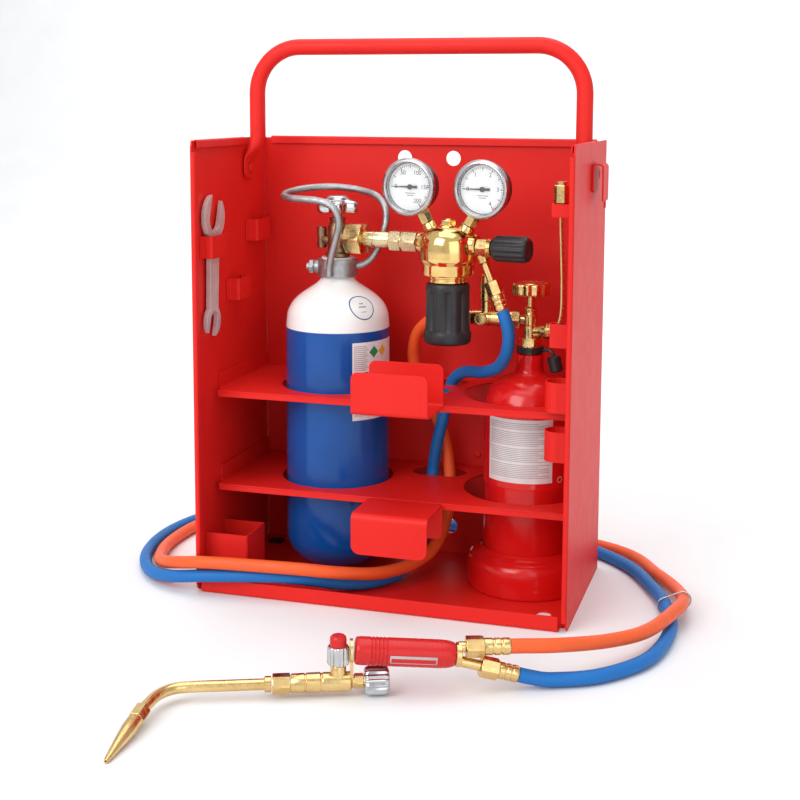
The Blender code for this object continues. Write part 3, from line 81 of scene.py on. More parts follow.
RACK_WIDTH, RACK_DEPTH, RACK_TOP = 353, 180, 521
CORNER = Vector((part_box("left_side_panel")[0][0] / MM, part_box("back_panel")[1][1] / MM - RACK_DEPTH, 0))
CYLINDER = Vector((*middle("oxygen_cylinder")[:2], 0))
CYLINDER_RADIUS = (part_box("oxygen_cylinder")[1][0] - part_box("oxygen_cylinder")[0][0]) / 2 / MM
ENAMEL_BREAK = 243.5
BOTTLE = Vector((*middle("propane_bottle")[:2], 0))
BOTTLE_RADIUS = 42.5
REGULATOR_YAW = -11
TORCH_YAW = 22.1
OXYGEN = upright(CYLINDER)
REGULATOR = upright(CYLINDER, REGULATOR_YAW)
PROPANE = upright(BOTTLE)
KNOB_AT = Vector(JOINTS["torch_oxygen_turn"]["pos_m"]) / MM
TORCH_X = Vector(JOINTS["torch_oxygen_turn"]["axis"])
KNOB_X = 152.4
TORCH = upright(KNOB_AT - TORCH_X * KNOB_X, TORCH_YAW)
REGULATOR_X, REGULATOR_Z = 119, 330
GAUGE_Z = 382
OUTLET_Z = 328
FUEL_BRANCH_Z = 257
ALONG_X = frame_at((0, 0, 0), (1, 0, 0))
HOSE_D = 0.0118


# ---------------------------------------------------------------- materials
def shader_of(mat):
    """The inputs of a material's shader."""
    return mat.node_tree.nodes["Principled BSDF"].inputs


def material(name, colour, roughness, metallic=0.0, shine=0.5):
    """A Principled material to add detail to."""
    mat = bpy.data.materials.new(name)
    mat.use_nodes = True
    shader = shader_of(mat)
    shader["Base Color"].default_value = (*colour, 1)
    shader["Roughness"].default_value = roughness
    shader["Metallic"].default_value = metallic
    shader["Specular IOR Level"].default_value = shine
    return mat


def add(mat, kind, **values):
    """Adds a node and sets its inputs by name."""
    node = mat.node_tree.nodes.new(kind)
    for name, value in values.items():
        node.inputs[name.replace("_", " ")].default_value = value
    return node


def join(mat, source, target):
    mat.node_tree.links.new(source, target)


def noise(mat, scale, stretch=(1, 1, 1), detail=4.0):
    """Noise in the piece's own coordinates. Scale is in features to a metre."""
    where = add(mat, "ShaderNodeTexCoord")
    sized = add(mat, "ShaderNodeMapping", Scale=stretch)
    grain = add(mat, "ShaderNodeTexNoise", Scale=scale, Detail=detail, Roughness=0.6)
    join(mat, where.outputs["Object"], sized.inputs["Vector"])
    join(mat, sized.outputs["Vector"], grain.inputs["Vector"])
    return grain.outputs["Fac"]


def spread(mat, value, low, high, start=0.35, stop=0.65):
    """Maps the middle of a noise to a range."""
    ranged = add(mat, "ShaderNodeMapRange", From_Min=start, From_Max=stop, To_Min=low, To_Max=high)
    join(mat, value, ranged.inputs["Value"])
    return ranged.outputs["Result"]


def blend_colour(mat, factor, first, second):
    """A mix of two colours, or of a socket and a colour."""
    mix = add(mat, "ShaderNodeMix")
    mix.data_type = "RGBA"
    join(mat, factor, mix.inputs["Factor"])
    for slot, value in (("A", first), ("B", second)):
        target = [s for s in mix.inputs if s.name == slot and s.type == "RGBA"][0]
        if isinstance(value, tuple):
            target.default_value = (*value, 1)
        else:
            join(mat, value, target)
    return [s for s in mix.outputs if s.type == "RGBA"][0]


def set_colour(mat, socket):
    join(mat, socket, shader_of(mat)["Base Color"])


def set_roughness(mat, socket):
    join(mat, socket, shader_of(mat)["Roughness"])


def set_bump(mat, height, distance, soft_edges=0.0):
    """Bump from a height, on top of softened edges where a radius is given."""
    bump = add(mat, "ShaderNodeBump", Strength=1.0, Distance=distance)
    join(mat, height, bump.inputs["Height"])
    if soft_edges:
        rounded = add(mat, "ShaderNodeBevel", Radius=soft_edges)
        rounded.samples = 4
        join(mat, rounded.outputs["Normal"], bump.inputs["Normal"])
    join(mat, bump.outputs["Normal"], shader_of(mat)["Normal"])


def above(mat, level, axis="Z", blur=0.0003):
    """0 below a level of the piece's own coordinate and 1 above it."""
    where = add(mat, "ShaderNodeTexCoord")
    parts = add(mat, "ShaderNodeSeparateXYZ")
    join(mat, where.outputs["Object"], parts.inputs["Vector"])
    return spread(mat, parts.outputs[axis], 0, 1, level - blur, level + blur)


def paint(name, colour, dark, roughness=(0.26, 0.40), soft_edges=0.0, peel=0.00003, shine=0.5):
    """Baked enamel: slight mottling, orange peel and faint handling marks."""
    mat = material(name, colour, 0.3, 0.0, shine)
    set_colour(mat, blend_colour(mat, spread(mat, noise(mat, 18), 0, 1), dark, colour))
    marks = noise(mat, 45, detail=6.0)
    set_roughness(mat, spread(mat, marks, *roughness))
    set_bump(mat, noise(mat, 1100, detail=2.0), peel, soft_edges)
    return mat


def metal(name, colour, dark, roughness, grain=500, stretch=(1, 1, 1), depth=0.00001, soft_edges=0.0):
    """Machined or plated metal: tarnish in patches, fine tool marks."""
    mat = material(name, colour, 0.25, 1.0)
    set_colour(mat, blend_colour(mat, spread(mat, noise(mat, 70, detail=6.0), 0, 1), colour, dark))
    set_roughness(mat, spread(mat, noise(mat, 240, detail=6.0), *roughness))
    set_bump(mat, noise(mat, grain, stretch), depth, soft_edges)
    return mat


def moulded(name, colour, roughness, grain=2200, depth=0.00002):
    """Moulded plastic or rubber with a fine texture and a little dust."""
    mat = material(name, colour, 0.45, 0.0, 0.35)
    dusty = tuple(c * 0.9 + 0.008 for c in colour)
    set_colour(mat, blend_colour(mat, spread(mat, noise(mat, 90, detail=6.0), 0, 1), colour, dusty))
    set_roughness(mat, spread(mat, noise(mat, 300), *roughness))
    set_bump(mat, noise(mat, grain, detail=2.0), depth)
    return mat


RED = (0.74, 0.016, 0.011)
RED_SHEET = paint("red_powder_coat", RED, (0.71, 0.014, 0.010), (0.44, 0.49), 0.0007, shine=0.24)
RED_GLOSS = paint("red_enamel", (0.70, 0.010, 0.009), (0.64, 0.008, 0.008), (0.12, 0.24), peel=0.000012)
BRASS = metal("brass", (0.82, 0.60, 0.27), (0.70, 0.47, 0.19), (0.16, 0.32), depth=0.000003)
BRASS_SHINY = metal("brass_polished", (0.92, 0.66, 0.27), (0.80, 0.52, 0.18), (0.08, 0.20), 260,
                    depth=0.000004)
BRASS_DULL = metal("brass_tarnished", (0.36, 0.24, 0.13), (0.22, 0.15, 0.10), (0.28, 0.50), 600,
                   depth=0.00003)
PALE_BRASS = metal("brass_plated", (0.74, 0.60, 0.36), (0.62, 0.50, 0.29), (0.16, 0.34), depth=0.000003)
COPPER = metal("copper", (0.80, 0.48, 0.30), (0.62, 0.34, 0.20), (0.18, 0.36))
ZINC = metal("galvanised", (0.48, 0.49, 0.49), (0.33, 0.34, 0.35), (0.38, 0.62), 900, depth=0.00008)
SATIN = metal("satin_plate", (0.56, 0.56, 0.57), (0.44, 0.44, 0.45), (0.22, 0.34), 900, depth=0.00002)
CHROME = metal("chrome", (0.66, 0.67, 0.68), (0.56, 0.57, 0.59), (0.10, 0.22), 300, depth=0.000003)
STEEL = metal("tool_steel", (0.74, 0.72, 0.70), (0.62, 0.59, 0.57), (0.30, 0.46), 700, (1, 1, 0.2), 0.00002,
              0.0006)
shader_of(STEEL)["Metallic"].default_value = 0.55
BLACK = moulded("black_plastic", (0.020, 0.020, 0.022), (0.30, 0.46))
BLACK_CASE = paint("black_enamel", (0.022, 0.022, 0.024), (0.016, 0.016, 0.018), (0.20, 0.32))
GRIP = moulded("red_grip", (0.60, 0.010, 0.010), (0.22, 0.36), 900)
BLUE_HOSE = moulded("blue_rubber", (0.004, 0.150, 0.480), (0.46, 0.60), 1500, 0.00005)
ORANGE_HOSE = moulded("orange_rubber", (0.86, 0.110, 0.018), (0.40, 0.56), 900, 0.00012)
PAPER = moulded("label_film", (0.80, 0.81, 0.80), (0.32, 0.42), 400, 0.000005)
INK = moulded("dial_ink", (0.008, 0.008, 0.010), (0.40, 0.50))
INK_GREY = moulded("label_grey", (0.38, 0.39, 0.41), (0.40, 0.50))
INK_RED = moulded("dial_red", (0.62, 0.010, 0.012), (0.35, 0.45))
INK_BLUE = moulded("label_blue", (0.010, 0.060, 0.26), (0.35, 0.45))
INK_GREEN = moulded("label_green", (0.020, 0.27, 0.08), (0.35, 0.45))
INK_YELLOW = moulded("label_yellow", (0.80, 0.50, 0.02), (0.35, 0.45))
DIAL = moulded("dial_face", (0.84, 0.85, 0.85), (0.38, 0.48), 500, 0.000004)


def cylinder_paint():
    """Blue enamel with a white shoulder."""
    mat = paint("cylinder_enamel", (0.004, 0.075, 0.320), (0.003, 0.060, 0.270), (0.10, 0.20), 0.0,
                0.000015, 0.35)
    blue = shader_of(mat)["Base Color"].links[0].from_socket
    set_colour(mat, blend_colour(mat, above(mat, ENAMEL_BREAK * MM), blue, (0.82, 0.82, 0.80)))
    return mat


def lens_glass():
    """A clear flat lens."""
    mat = material("gauge_lens", (0.95, 0.98, 0.98), 0.03)
    shader_of(mat)["Alpha"].default_value = 0.05
    smears = noise(mat, 120, (1, 1, 0.3), 5.0)
    set_roughness(mat, spread(mat, smears, 0.02, 0.10))
    return mat


CYLINDER_PAINT = cylinder_paint()
LENS = lens_glass()

NODE_FINISH = {
    "red_paint": RED_SHEET, "red_plastic": GRIP, "blue_paint": CYLINDER_PAINT, "brass_metal": BRASS,
    "grey_zinc": ZINC, "black_plastic": BLACK, "bright_chrome": CHROME, "dial_white": DIAL,
    "lens": LENS, "orange_rubber": ORANGE_HOSE, "blue_rubber": BLUE_HOSE, "tool_steel": STEEL,
    "copper_tube": COPPER,
}
for part in frame["record"]["subparts"]:
    node = frame["nodes"][part["node"]]
    for held in node.material_slots:
        held.material = NODE_FINISH[part["material_slot"]]


# ---------------------------------------------------------------- shapes
def put(name, data):
    """A new object in the scene."""
    made = bpy.data.objects.new(name, data)
    bpy.context.scene.collection.objects.link(made)
    return made


def ring_of(bm, radii, centre, side=Vector((1, 0, 0)), up=Vector((0, 1, 0))):
    """A ring of vertices, one to each radius."""
    total = len(radii)
    angles = [2 * math.pi * i / total for i in range(total)]
    return [bm.verts.new(centre + side * r * math.cos(t) + up * r * math.sin(t))
            for r, t in zip(radii, angles)]


def skin(bm, rings, closed=False):
    """Faces between rings, and caps at both ends unless it closes on itself."""
    pairs = list(zip(rings, rings[1:]))
    if closed:
        pairs.append((rings[-1], rings[0]))
    for first, second in pairs:
        for i in range(len(first)):
            j = (i + 1) % len(first)
            bm.faces.new((first[i], first[j], second[j], second[i]))
    if not closed:
        bm.faces.new(rings[0])
        bm.faces.new(rings[-1])
    return bm


def turned(profile, count=40, closed=False):
    """A solid from (radius, height) points turned about Z."""
    bm = bmesh.new()
    rings = [ring_of(bm, [max(r, AXIS)] * count, UP * z) for r, z in profile]
    return skin(bm, rings, closed)


def flat_ended(profile, count=40):
    """A turned solid that ends in a flat disc at both ends of its profile."""
    return turned([(0, profile[0][1])] + profile + [(0, profile[-1][1])], count)


def waved(rows, lobes, steps, power=1):
    """A turned solid whose radius waves. Each row is (radius, depth, height)."""
    bm = bmesh.new()
    total = lobes * steps
    rings = []
    for radius, depth, z in rows:
        waves = [(0.5 + 0.5 * math.cos(2 * math.pi * i / steps)) ** power for i in range(total)]
        radii = [radius - depth * (1 - wave) for wave in waves]
        rings.append(ring_of(bm, radii, UP * z))
    return skin(bm, rings)


def hex_nut(across, low, high, chamfer):
    """A nut whose corners are turned down to a cone at both ends."""
    bm = bmesh.new()
    sides, steps = 6, 8
    corner = across / 2 / math.cos(math.pi / sides)
    rows = [(across / 2 * 0.985, low), (corner * 0.975, low + chamfer * 0.45), (corner, low + chamfer)]
    rows += [(corner, high - chamfer), (corner * 0.975, high - chamfer * 0.45), (across / 2 * 0.985, high)]
    rings = []
    for cap, z in rows:
        radii = []
        for i in range(sides * steps):
            local = (i % steps) / steps * 2 * math.pi / sides - math.pi / sides
            radii.append(min(across / 2 / math.cos(local), cap))
        rings.append(ring_of(bm, radii, UP * z))
    return skin(bm, rings)


def swept(points, radii, count=20, closed=False):
    """A rod along points; each radius is a number or a (sideways, upward) pair."""
    bm = bmesh.new()
    path = [Vector(p) for p in points]
    side = None
    rings = []
    for i, here in enumerate(path):
        ahead = path[(i + 1) % len(path)] if closed else path[min(i + 1, len(path) - 1)]
        behind = path[i - 1] if closed or i else path[0]
        along = (ahead - behind).normalized()
        if side is None:
            pick = Vector((0, 1, 0)) if abs(along.y) < 0.9 else Vector((1, 0, 0))
            side = along.cross(pick)
        side = (side - along * side.dot(along)).normalized()
        size = radii[i] if isinstance(radii, list) else radii
        ru, rv = size if isinstance(size, tuple) else (size, size)
        up = along.cross(side)
        rings.append(ring_of(bm, [1] * count, here, side * ru, up * rv))
    return skin(bm, rings, closed)


def smooth_path(points, step):
    """Points every step or so along a smooth curve through the route's own points."""
    route = [Vector(p) for p in points]
    knots = [route[0] * 2 - route[1]] + route + [route[-1] * 2 - route[-2]]
    dense = []
    for i in range(1, len(knots) - 2):
        p0, p1, p2, p3 = knots[i - 1 : i + 3]
        for k in range(24):
            t = k / 24
            b = (p2 - p0) * t
            c = (p0 * 2 - p1 * 5 + p2 * 4 - p3) * t * t
            d = (p1 * 3 - p0 - p2 * 3 + p3) * t * t * t
            dense.append((p1 * 2 + b + c + d) / 2)
    dense.append(route[-1])
    length = sum((b - a).length for a, b in zip(dense, dense[1:]))
    spans = max(1, round(length / step))
    even = [dense[0]]
    walked = 0
    for a, b in zip(dense, dense[1:]):
        part_length = (b - a).length
        while len(even) < spans and walked + part_length >= length * len(even) / spans:
            even.append(a.lerp(b, (length * len(even) / spans - walked) / part_length))
        walked += part_length
    even.append(dense[-1])
    return even


def prism(outline, low, high):
    """An outline in XY, given a thickness."""
    bm = bmesh.new()
    bottom = [bm.verts.new((x, y, low)) for x, y in outline]
    top = [bm.verts.new((x, y, high)) for x, y in outline]
    return skin(bm, [bottom, top])


def block(low, high):
    """A box between two corners."""
    outline = [(low[0], low[1]), (high[0], low[1]), (high[0], high[1]), (low[0], high[1])]
    return prism(outline, low[2], high[2])


def moved(bm, place):
    bmesh.ops.transform(bm, matrix=place, verts=bm.verts)
    return bm


def gathered(*parts):
    """Several closed shapes in one mesh."""
    whole = bmesh.new()
    for part in parts:
        held = bpy.data.meshes.new("part")
        part.to_mesh(held)
        part.free()
        whole.from_mesh(held)
        bpy.data.meshes.remove(held)
    return whole


def add_piece(name, bm, mat, body, place=Matrix(), replaces=(), edge=0, angle=35):
    """Makes a piece from a mesh in millimetres, softens its edges and lets it ride on a body."""
    moved(bm, Matrix.Scale(MM, 4) @ place)
    bmesh.ops.recalc_face_normals(bm, faces=bm.faces)
    mesh = bpy.data.meshes.new(name)
    bm.to_mesh(mesh)
    bm.free()
    mesh.materials.append(mat)
    mesh.shade_smooth()
    mesh.set_sharp_from_angle(angle=math.radians(angle))
    made = put(name, mesh)
    if edge:
        round_off = made.modifiers.new("edge", "BEVEL")
        round_off.width = edge * MM
        round_off.segments = 2
        round_off.limit_method = "ANGLE"
        round_off.angle_limit = math.radians(32)
        round_off.harden_normals = False
    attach(made, body)
    if replaces:
        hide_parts(*replaces)
    return made


def laid(name, shapes, surface, lift, mat):
    """Thin film shapes laid on a surface. Each shape is (points, faces) in the film's own plane."""
    bm = bmesh.new()
    for points, faces in shapes:
        placed = []
        for u, v in points:
            at, normal = surface(u, v)
            placed.append(bm.verts.new(at + normal * (lift + FILM)))
        for face in faces:
            bm.faces.new([placed[i] for i in face])
    bmesh.ops.recalc_face_normals(bm, faces=bm.faces)
    bmesh.ops.solidify(bm, geom=bm.faces[:], thickness=FILM)
    return add_piece(name, bm, mat, "rack")


def panel(low, high, columns=12, rows=6):
    """A rectangle of film."""
    points = [(low[0] + (high[0] - low[0]) * i / columns, low[1] + (high[1] - low[1]) * j / rows)
              for j in range(rows + 1) for i in range(columns + 1)]
    wide = columns + 1
    faces = [(j * wide + i, j * wide + i + 1, (j + 1) * wide + i + 1, (j + 1) * wide + i)
             for j in range(rows) for i in range(columns)]
    return points, faces


def round_film(centre, outer, inner=0, steps=40, rings=4, start=0, stop=360):
    """A disc, ring or arc of film."""
    full = stop - start == 360
    across = steps if full else steps + 1
    start_radius = max(inner, AXIS)
    points = []
    for ring in range(rings + 1):
        r = start_radius + (outer - start_radius) * ring / rings
        for i in range(across):
            t = math.radians(start + (stop - start) * i / steps)
            points.append((centre[0] + r * math.cos(t), centre[1] + r * math.sin(t)))
    faces = []
    for ring in range(rings):
        for i in range(steps):
            j = (i + 1) % across
            a, b = ring * across, (ring + 1) * across
            faces.append((a + i, a + j, b + j, b + i))
    return points, faces


def on_turned(profile, centre, facing, height):
    """A surface of film round a turned shape, from a (radius, height) profile, about one point on it."""
    lengths = [0]
    for (r0, z0), (r1, z1) in zip(profile, profile[1:]):
        lengths.append(lengths[-1] + math.hypot(r1 - r0, z1 - z0))
    base = next(lengths[i] + (height - z0) / (z1 - z0) * (lengths[i + 1] - lengths[i])
                for i, ((r0, z0), (r1, z1)) in enumerate(zip(profile, profile[1:])) if z0 <= height <= z1)

    def at(v):
        target = min(max(base + v, 0), lengths[-1] - 1e-9)
        i = next(k for k in range(len(lengths) - 1) if lengths[k + 1] >= target)
        t = (target - lengths[i]) / (lengths[i + 1] - lengths[i])
        (r0, z0), (r1, z1) = profile[i], profile[i + 1]
        return r0 + (r1 - r0) * t, z0 + (z1 - z0) * t

    def surface(u, v):
        r, z = at(v)
        (ra, za), (rb, zb) = at(v - 0.6), at(v + 0.6)
        turn = math.radians(facing) + u / max(r, at(0)[0] * 0.8)
        out = Vector((math.cos(turn), math.sin(turn), 0))
        normal = (out * (zb - za) - UP * (rb - ra)).normalized()
        return centre + out * r + UP * z, normal
    return surface


def on_plane(place, height):
    """A flat surface of film at a height in a frame."""
    normal = (place.to_3x3() @ UP).normalized()
    return lambda u, v: (place @ Vector((u, v, height)), normal)


def on_rod(place, radius):
    """A surface of film along a rod that lies on a frame's Z, about its X side."""
    def surface(u, v):
        out = Vector((math.cos(v / radius), math.sin(v / radius), 0))
        return place @ (out * radius + UP * u), (place.to_3x3() @ out).normalized()
    return surface


def rounded_profile(points, step=2.2):
    """A (radius, height) profile made smooth through its points."""
    return [(max(p.x, AXIS), p.z) for p in smooth_path([(r, 0, z) for r, z in points], step)]


# ---------------------------------------------------------------- rack
def rack_pieces():
    """The handle's tube, its rivets, the back panel's rivet and the floor plug."""
    tube_x, bend, radius = 13.6, 45, 7.8
    top, back = RACK_TOP - radius, 129
    flat = 3.65
    leg = [(flat, 384.6, 1.8, 6), (flat, 386.8, 1.85, 10), (flat, 390.5, 1.85, 12.2),
           (flat, 401, 1.85, 12.8), (flat + 1.2, 407, 2.8, 12), (tube_x - 4, 414, 5.8, 10),
           (tube_x - 0.8, 421, 7.4, 8.3), (tube_x, 427, radius, radius)]
    for step in range(17):
        t = math.radians(180 - 90 * step / 16)
        leg.append((tube_x + bend + bend * math.cos(t), top - bend + bend * math.sin(t), radius, radius))
    whole = leg + [(RACK_WIDTH - x, z, ru, rv) for x, z, ru, rv in reversed(leg)]
    points = [CORNER + Vector((x, back, z)) for x, z, ru, rv in whole]
    add_piece("handle_tube", swept(points, [(ru, rv) for x, z, ru, rv in whole], 32), RED_SHEET,
              "carry_handle", replaces=("carry_handle",), angle=50)
    for name, x, way in (("left", 0, 1), ("right", RACK_WIDTH, -1)):
        head = [(0, -2.3), (2, -2.25), (3.6, -1.9), (5, -1.2), (5.5, -0.3), (2.8, -0.3), (2.8, 5.8),
                (5.2, 5.8), (4.9, 6.9), (3.8, 7.4), (0, 7.8)]
        place = frame_at(CORNER + Vector((x, back, 395)), (way, 0, 0))
        add_piece("handle_pin_" + name, turned(head, 32), RED_SHEET, "rack", place,
                  ("handle_rivet_" + name,))
    rivet = [(0, 0.1), (3.2, 0.1), (3.4, 0.4), (3, 1), (1.8, 1.4), (0, 1.5)]
    add_piece("back_rivet", turned(rivet, 28), RED_SHEET, "rack",
              frame_at(CORNER + Vector((230, 178.4, 106.3)), (0, -1, 0)))
    plug = [(0, -1.4), (6.6, -1.4), (6.6, 0.1), (8.6, 0.1), (8.8, 0.8), (8, 1.9), (6, 2.3), (0, 2.4)]
    add_piece("floor_plug", turned(plug, 32), BLACK, "rack", upright(CORNER + Vector((18.5, 158, 1.5))))


# ---------------------------------------------------------------- oxygen cylinder, guard and valve
def cylinder_pieces():
    """The shell with its shoulder mark and body label."""
    dome = [(50.5 * math.sin(math.radians(a)), 36.8 - 35 * math.cos(math.radians(a)))
            for a in range(0, 91, 5)]
    shoulder = rounded_profile([(50.5, ENAMEL_BREAK), (50, 250), (48.5, 259), (43.5, 268), (36, 275),
                                (27.5, 280.8), (20.5, 285.6), (16.8, 289.5), (15.5, 292)])
    neck = [(15.5, 311), (10, 311), (10, 298)]
    add_piece("cylinder_shell", turned(dome + shoulder + neck, 96), CYLINDER_PAINT, "rack", OXYGEN,
              ("oxygen_cylinder",), angle=50)
    on_shoulder = on_turned(shoulder, CYLINDER, -39, 267.2)
    laid("shoulder_mark", [round_film((0, 0), 13.6)], on_shoulder, 0.02, PAPER)
    laid("shoulder_mark_ring", [round_film((0, 0), 13.2, 12.2, 48, 1)], on_shoulder, 0.1, INK_BLUE)
    bars = [panel((-2.2, 2.6), (2.2, 4.4), 4, 1), panel((-4, -1), (4, 0.8), 6, 1),
            panel((-3, -5.8), (3, -5), 5, 1)]
    laid("shoulder_mark_bars", bars, on_shoulder, 0.1, INK_GREY)
    body = on_turned([(CYLINDER_RADIUS, 40), (CYLINDER_RADIUS, ENAMEL_BREAK)], CYLINDER, -37, 196.5)
    laid("cylinder_label", [panel((-16, -37.5), (42, 37.5), 40, 2)], body, 0.02, PAPER)
    rows = [panel((-14.5, 33.5 - 1.9 * i), (-14.5 + 13 + 4 * ((i * 7) % 3) / 3, 34.3 - 1.9 * i), 6, 1)
            for i in range(13)]
    rows += [panel((4 + 1.7 * i, -34), (4 + 1.7 * i + 0.4 + 0.4 * (i % 3), -24), 1, 1) for i in range(14)]
    rows += [panel((-14.5 + 1.4 * i, -34), (-14.5 + 1.4 * i + 0.4 + 0.3 * (i % 3), -26), 1, 1)
             for i in range(11)]
    laid("cylinder_label_print", rows, body, 0.1, INK_GREY)
    laid("cylinder_label_heading", [panel((-14.5, 7.5), (1, 8.8), 8, 1)], body, 0.1, INK_RED)
    laid("cylinder_label_patch_a", [round_film((7.8, 27.5), 5.8, 0, 4, 3)], body, 0.1, INK_GREEN)
    laid("cylinder_label_patch_b", [round_film((20, 27.5), 5.8, 0, 4, 3)], body, 0.1, INK_YELLOW)


def guard_pieces():
    """The bent rod, the clamp band and its bolt."""
    band = [(15.8, 292.5), (16.2, 292.3), (18.9, 292.3), (19.3, 292.7), (19.3, 309.3), (18.9, 309.7),
            (16.2, 309.7), (15.8, 309.5)]
    bolt = OXYGEN @ frame_at((-16.5, -2, 301), (-1, -0.1, 0))
    lug = flat_ended([(6, 0), (6.3, 0.8), (6.3, 5.8), (5.8, 6.5)], 32)
    shank = flat_ended([(3.2, 11), (3.2, 14), (2.2, 15)], 24)
    route = [(103.5, 86.8, 294.5), (103.8, 86.4, 303), (107.5, 83.5, 317), (112.8, 80.3, 332),
             (116, 79, 345), (113.5, 79, 356.5), (105.5, 79.5, 364), (94, 80, 367.2), (79, 81.5, 368),
             (64, 86.2, 368.3), (54.8, 94.5, 369.5), (51.5, 105.5, 371), (53.5, 117.5, 372.8),
             (61, 129, 374.8), (73, 138, 376.2), (88, 143, 376.6), (105, 144, 375.5), (122, 140.5, 373),
             (137, 133, 369), (146.2, 126.5, 361), (150, 121.5, 350), (148.2, 119, 336), (142, 117.8, 319),
             (135.5, 116.5, 309), (129, 113.8, 304), (122.2, 111.2, 302.5)]
    rod = swept(smooth_path([CORNER + Vector(p) for p in route], 3.5), 3.4, 20)
    whole = gathered(moved(turned(band, 64, True), OXYGEN), moved(lug, bolt),
                     moved(hex_nut(12.5, 6.6, 11.2, 1), bolt), moved(shank, bolt), rod)
    add_piece("guard_frame", whole, ZINC, "rack", replaces=("valve_guard",), angle=40)


def valve_pieces():
    """The cylinder valve and its handwheel."""
    stack = [(8.5, 296), (9.5, 297.5), (9.5, 311.3), (11.6, 311.5), (12, 311.9), (12, 314.6), (11.4, 315.2),
             (9.7, 316.5), (9.7, 320), (8.8, 320.6), (8.8, 322.2), (9.7, 322.8), (9.7, 339.5), (9, 341.2),
             (7.8, 343), (7.8, 345), (7.2, 345.5), (7.2, 346.6), (7.8, 347.1), (7.8, 349.2), (4, 350),
             (4, 353.5)]
    outlet = flat_ended([(8, 0), (8, 11.8), (7.2, 12.4), (7.2, 15.5)], 32)
    port = flat_ended([(5, 0), (5, 14.5), (3.8, 16.3)], 28)
    drum = flat_ended([(4, -7.5), (4.6, -6.6), (4.6, -1), (4.1, -0.5), (4.1, 3), (4.6, 3.5), (4.6, 11.8),
                       (3.6, 13)], 28)
    parts = gathered(flat_ended(stack, 48), moved(outlet, frame_at((0, 0, REGULATOR_Z), (1, 0, 0))),
                     moved(port, frame_at((0, 0, 327), (-1, -0.15, 0))),
                     moved(drum, Matrix.Translation((-16.5, -2.5, 327))))
    add_piece("cylinder_valve", parts, BRASS_DULL, "rack", REGULATOR, ("oxygen_valve_body",))
    rows = [(0.1, 0, 0), (15, 4.5, 0), (16, 5, 0.1), (18.6, 6, 0.6), (19.7, 6.3, 1.6), (20.5, 6.5, 3.5),
            (20.5, 6.5, 8.5), (20, 6.4, 9.9), (18.8, 6, 11), (16, 4.2, 11.9), (13, 2.5, 12.8),
            (11.2, 0.4, 13.8), (10.5, 0, 15), (8.5, 0, 16.4), (6, 0, 16.8), (0.1, 0, 16.6)]
    wheel = moved(waved(rows, 5, 20), upright(CYLINDER + UP * 354))
    add_piece("cylinder_handwheel", wheel, CHROME, "oxygen_handwheel", replaces=("oxygen_handwheel",),
              angle=60)


# ---------------------------------------------------------------- regulator
def on_axis_x(bm, z=REGULATOR_Z):
    """Lays a shape turned about Z along the X axis."""
    return moved(bm, frame_at((0, 0, z), (1, 0, 0)))


def regulator_pieces():
    """Inlet nut and stem, body and adjusting knob."""
    nut = on_axis_x(hex_nut(28, 12.4, 30.8, 1.6))
    add_piece("union_nut", nut, BRASS, "rack", REGULATOR, ("inlet_nut",), edge=0.3)
    stem = [(7.6, 30.9), (7.8, 32), (7.8, 40.8), (7, 41.3), (7, 42.4), (7.8, 42.9), (7.8, 55.6), (7, 57),
            (7, 59.8)]
    parts = gathered(on_axis_x(flat_ended(stem, 40)), on_axis_x(hex_nut(18, 59, 71.2, 1)),
                     on_axis_x(flat_ended([(8.6, 71), (8.6, 72.8)], 36)),
                     on_axis_x(hex_nut(18, 72.6, 88.2, 1)))
    add_piece("inlet_tube", parts, PALE_BRASS, "rack", REGULATOR, ("inlet_stem",), edge=0.2)
    bell = rounded_profile([(27, 316), (27, 328), (25.5, 335.5), (21.5, 341.5), (16, 345), (10, 346.8)],
                           1.6)
    body = [(0, 293.8), (17.2, 293.8), (18, 294.4), (18, 296.6), (17.4, 297), (17.4, 298), (18, 298.4),
            (18, 300), (21.8, 300.3), (23.4, 300.8), (24, 302), (24, 310.3), (24.7, 311.6), (26, 313.4),
            (26.8, 315)]
    shell = turned(body + bell + [(0, 347.4)], 80)
    bosses = [moved(flat_ended([(10, 18), (10, 28.6), (9.2, 30)], 40),
                    frame_at((0, 0, REGULATOR_Z), (side, 0, 0))) for side in (-1, 1)]
    mounts = [moved(flat_ended([(7, 0), (7, 12.8), (6.4, 13.8)], 32),
                    frame_at((side * 14, 0, 336), (side * 0.5, 0, 0.866))) for side in (-1, 1)]
    plug = gathered(hex_nut(13, 346.6, 352.2, 0.9), flat_ended([(7.8, 344), (7.8, 347.8)], 36),
                    turned([(0, 352), (3.6, 352), (3.4, 353.4), (0, 353.5)], 24))
    place = REGULATOR @ Matrix.Translation((REGULATOR_X, 0, 0))
    add_piece("regulator_bell", gathered(shell, plug, *bosses, *mounts), BRASS_SHINY, "rack", place,
              ("regulator_body",), edge=0.3)
    rows = [(0.1, 0, 0), (18, 0, 0), (19.8, 0, 0.4), (21.5, 0, 1.7), (22.1, 0, 3.4), (22.2, 0, 10.8),
            (21.7, 0.2, 11.9), (21.6, 1.8, 13), (21.6, 2.8, 14.4), (21.1, 3, 48), (21, 1.6, 49.7),
            (20.9, 0.2, 51), (20.5, 0, 55.2), (20, 0, 56.6), (18.8, 0, 57.3), (0.1, 0, 57.3)]
    knob = waved(rows, 8, 14, 0.5)
    add_piece("adjusting_knob", knob, BLACK, "pressure_knob", place @ Matrix.Translation((0, 0, 236)),
              ("pressure_knob",), angle=40)


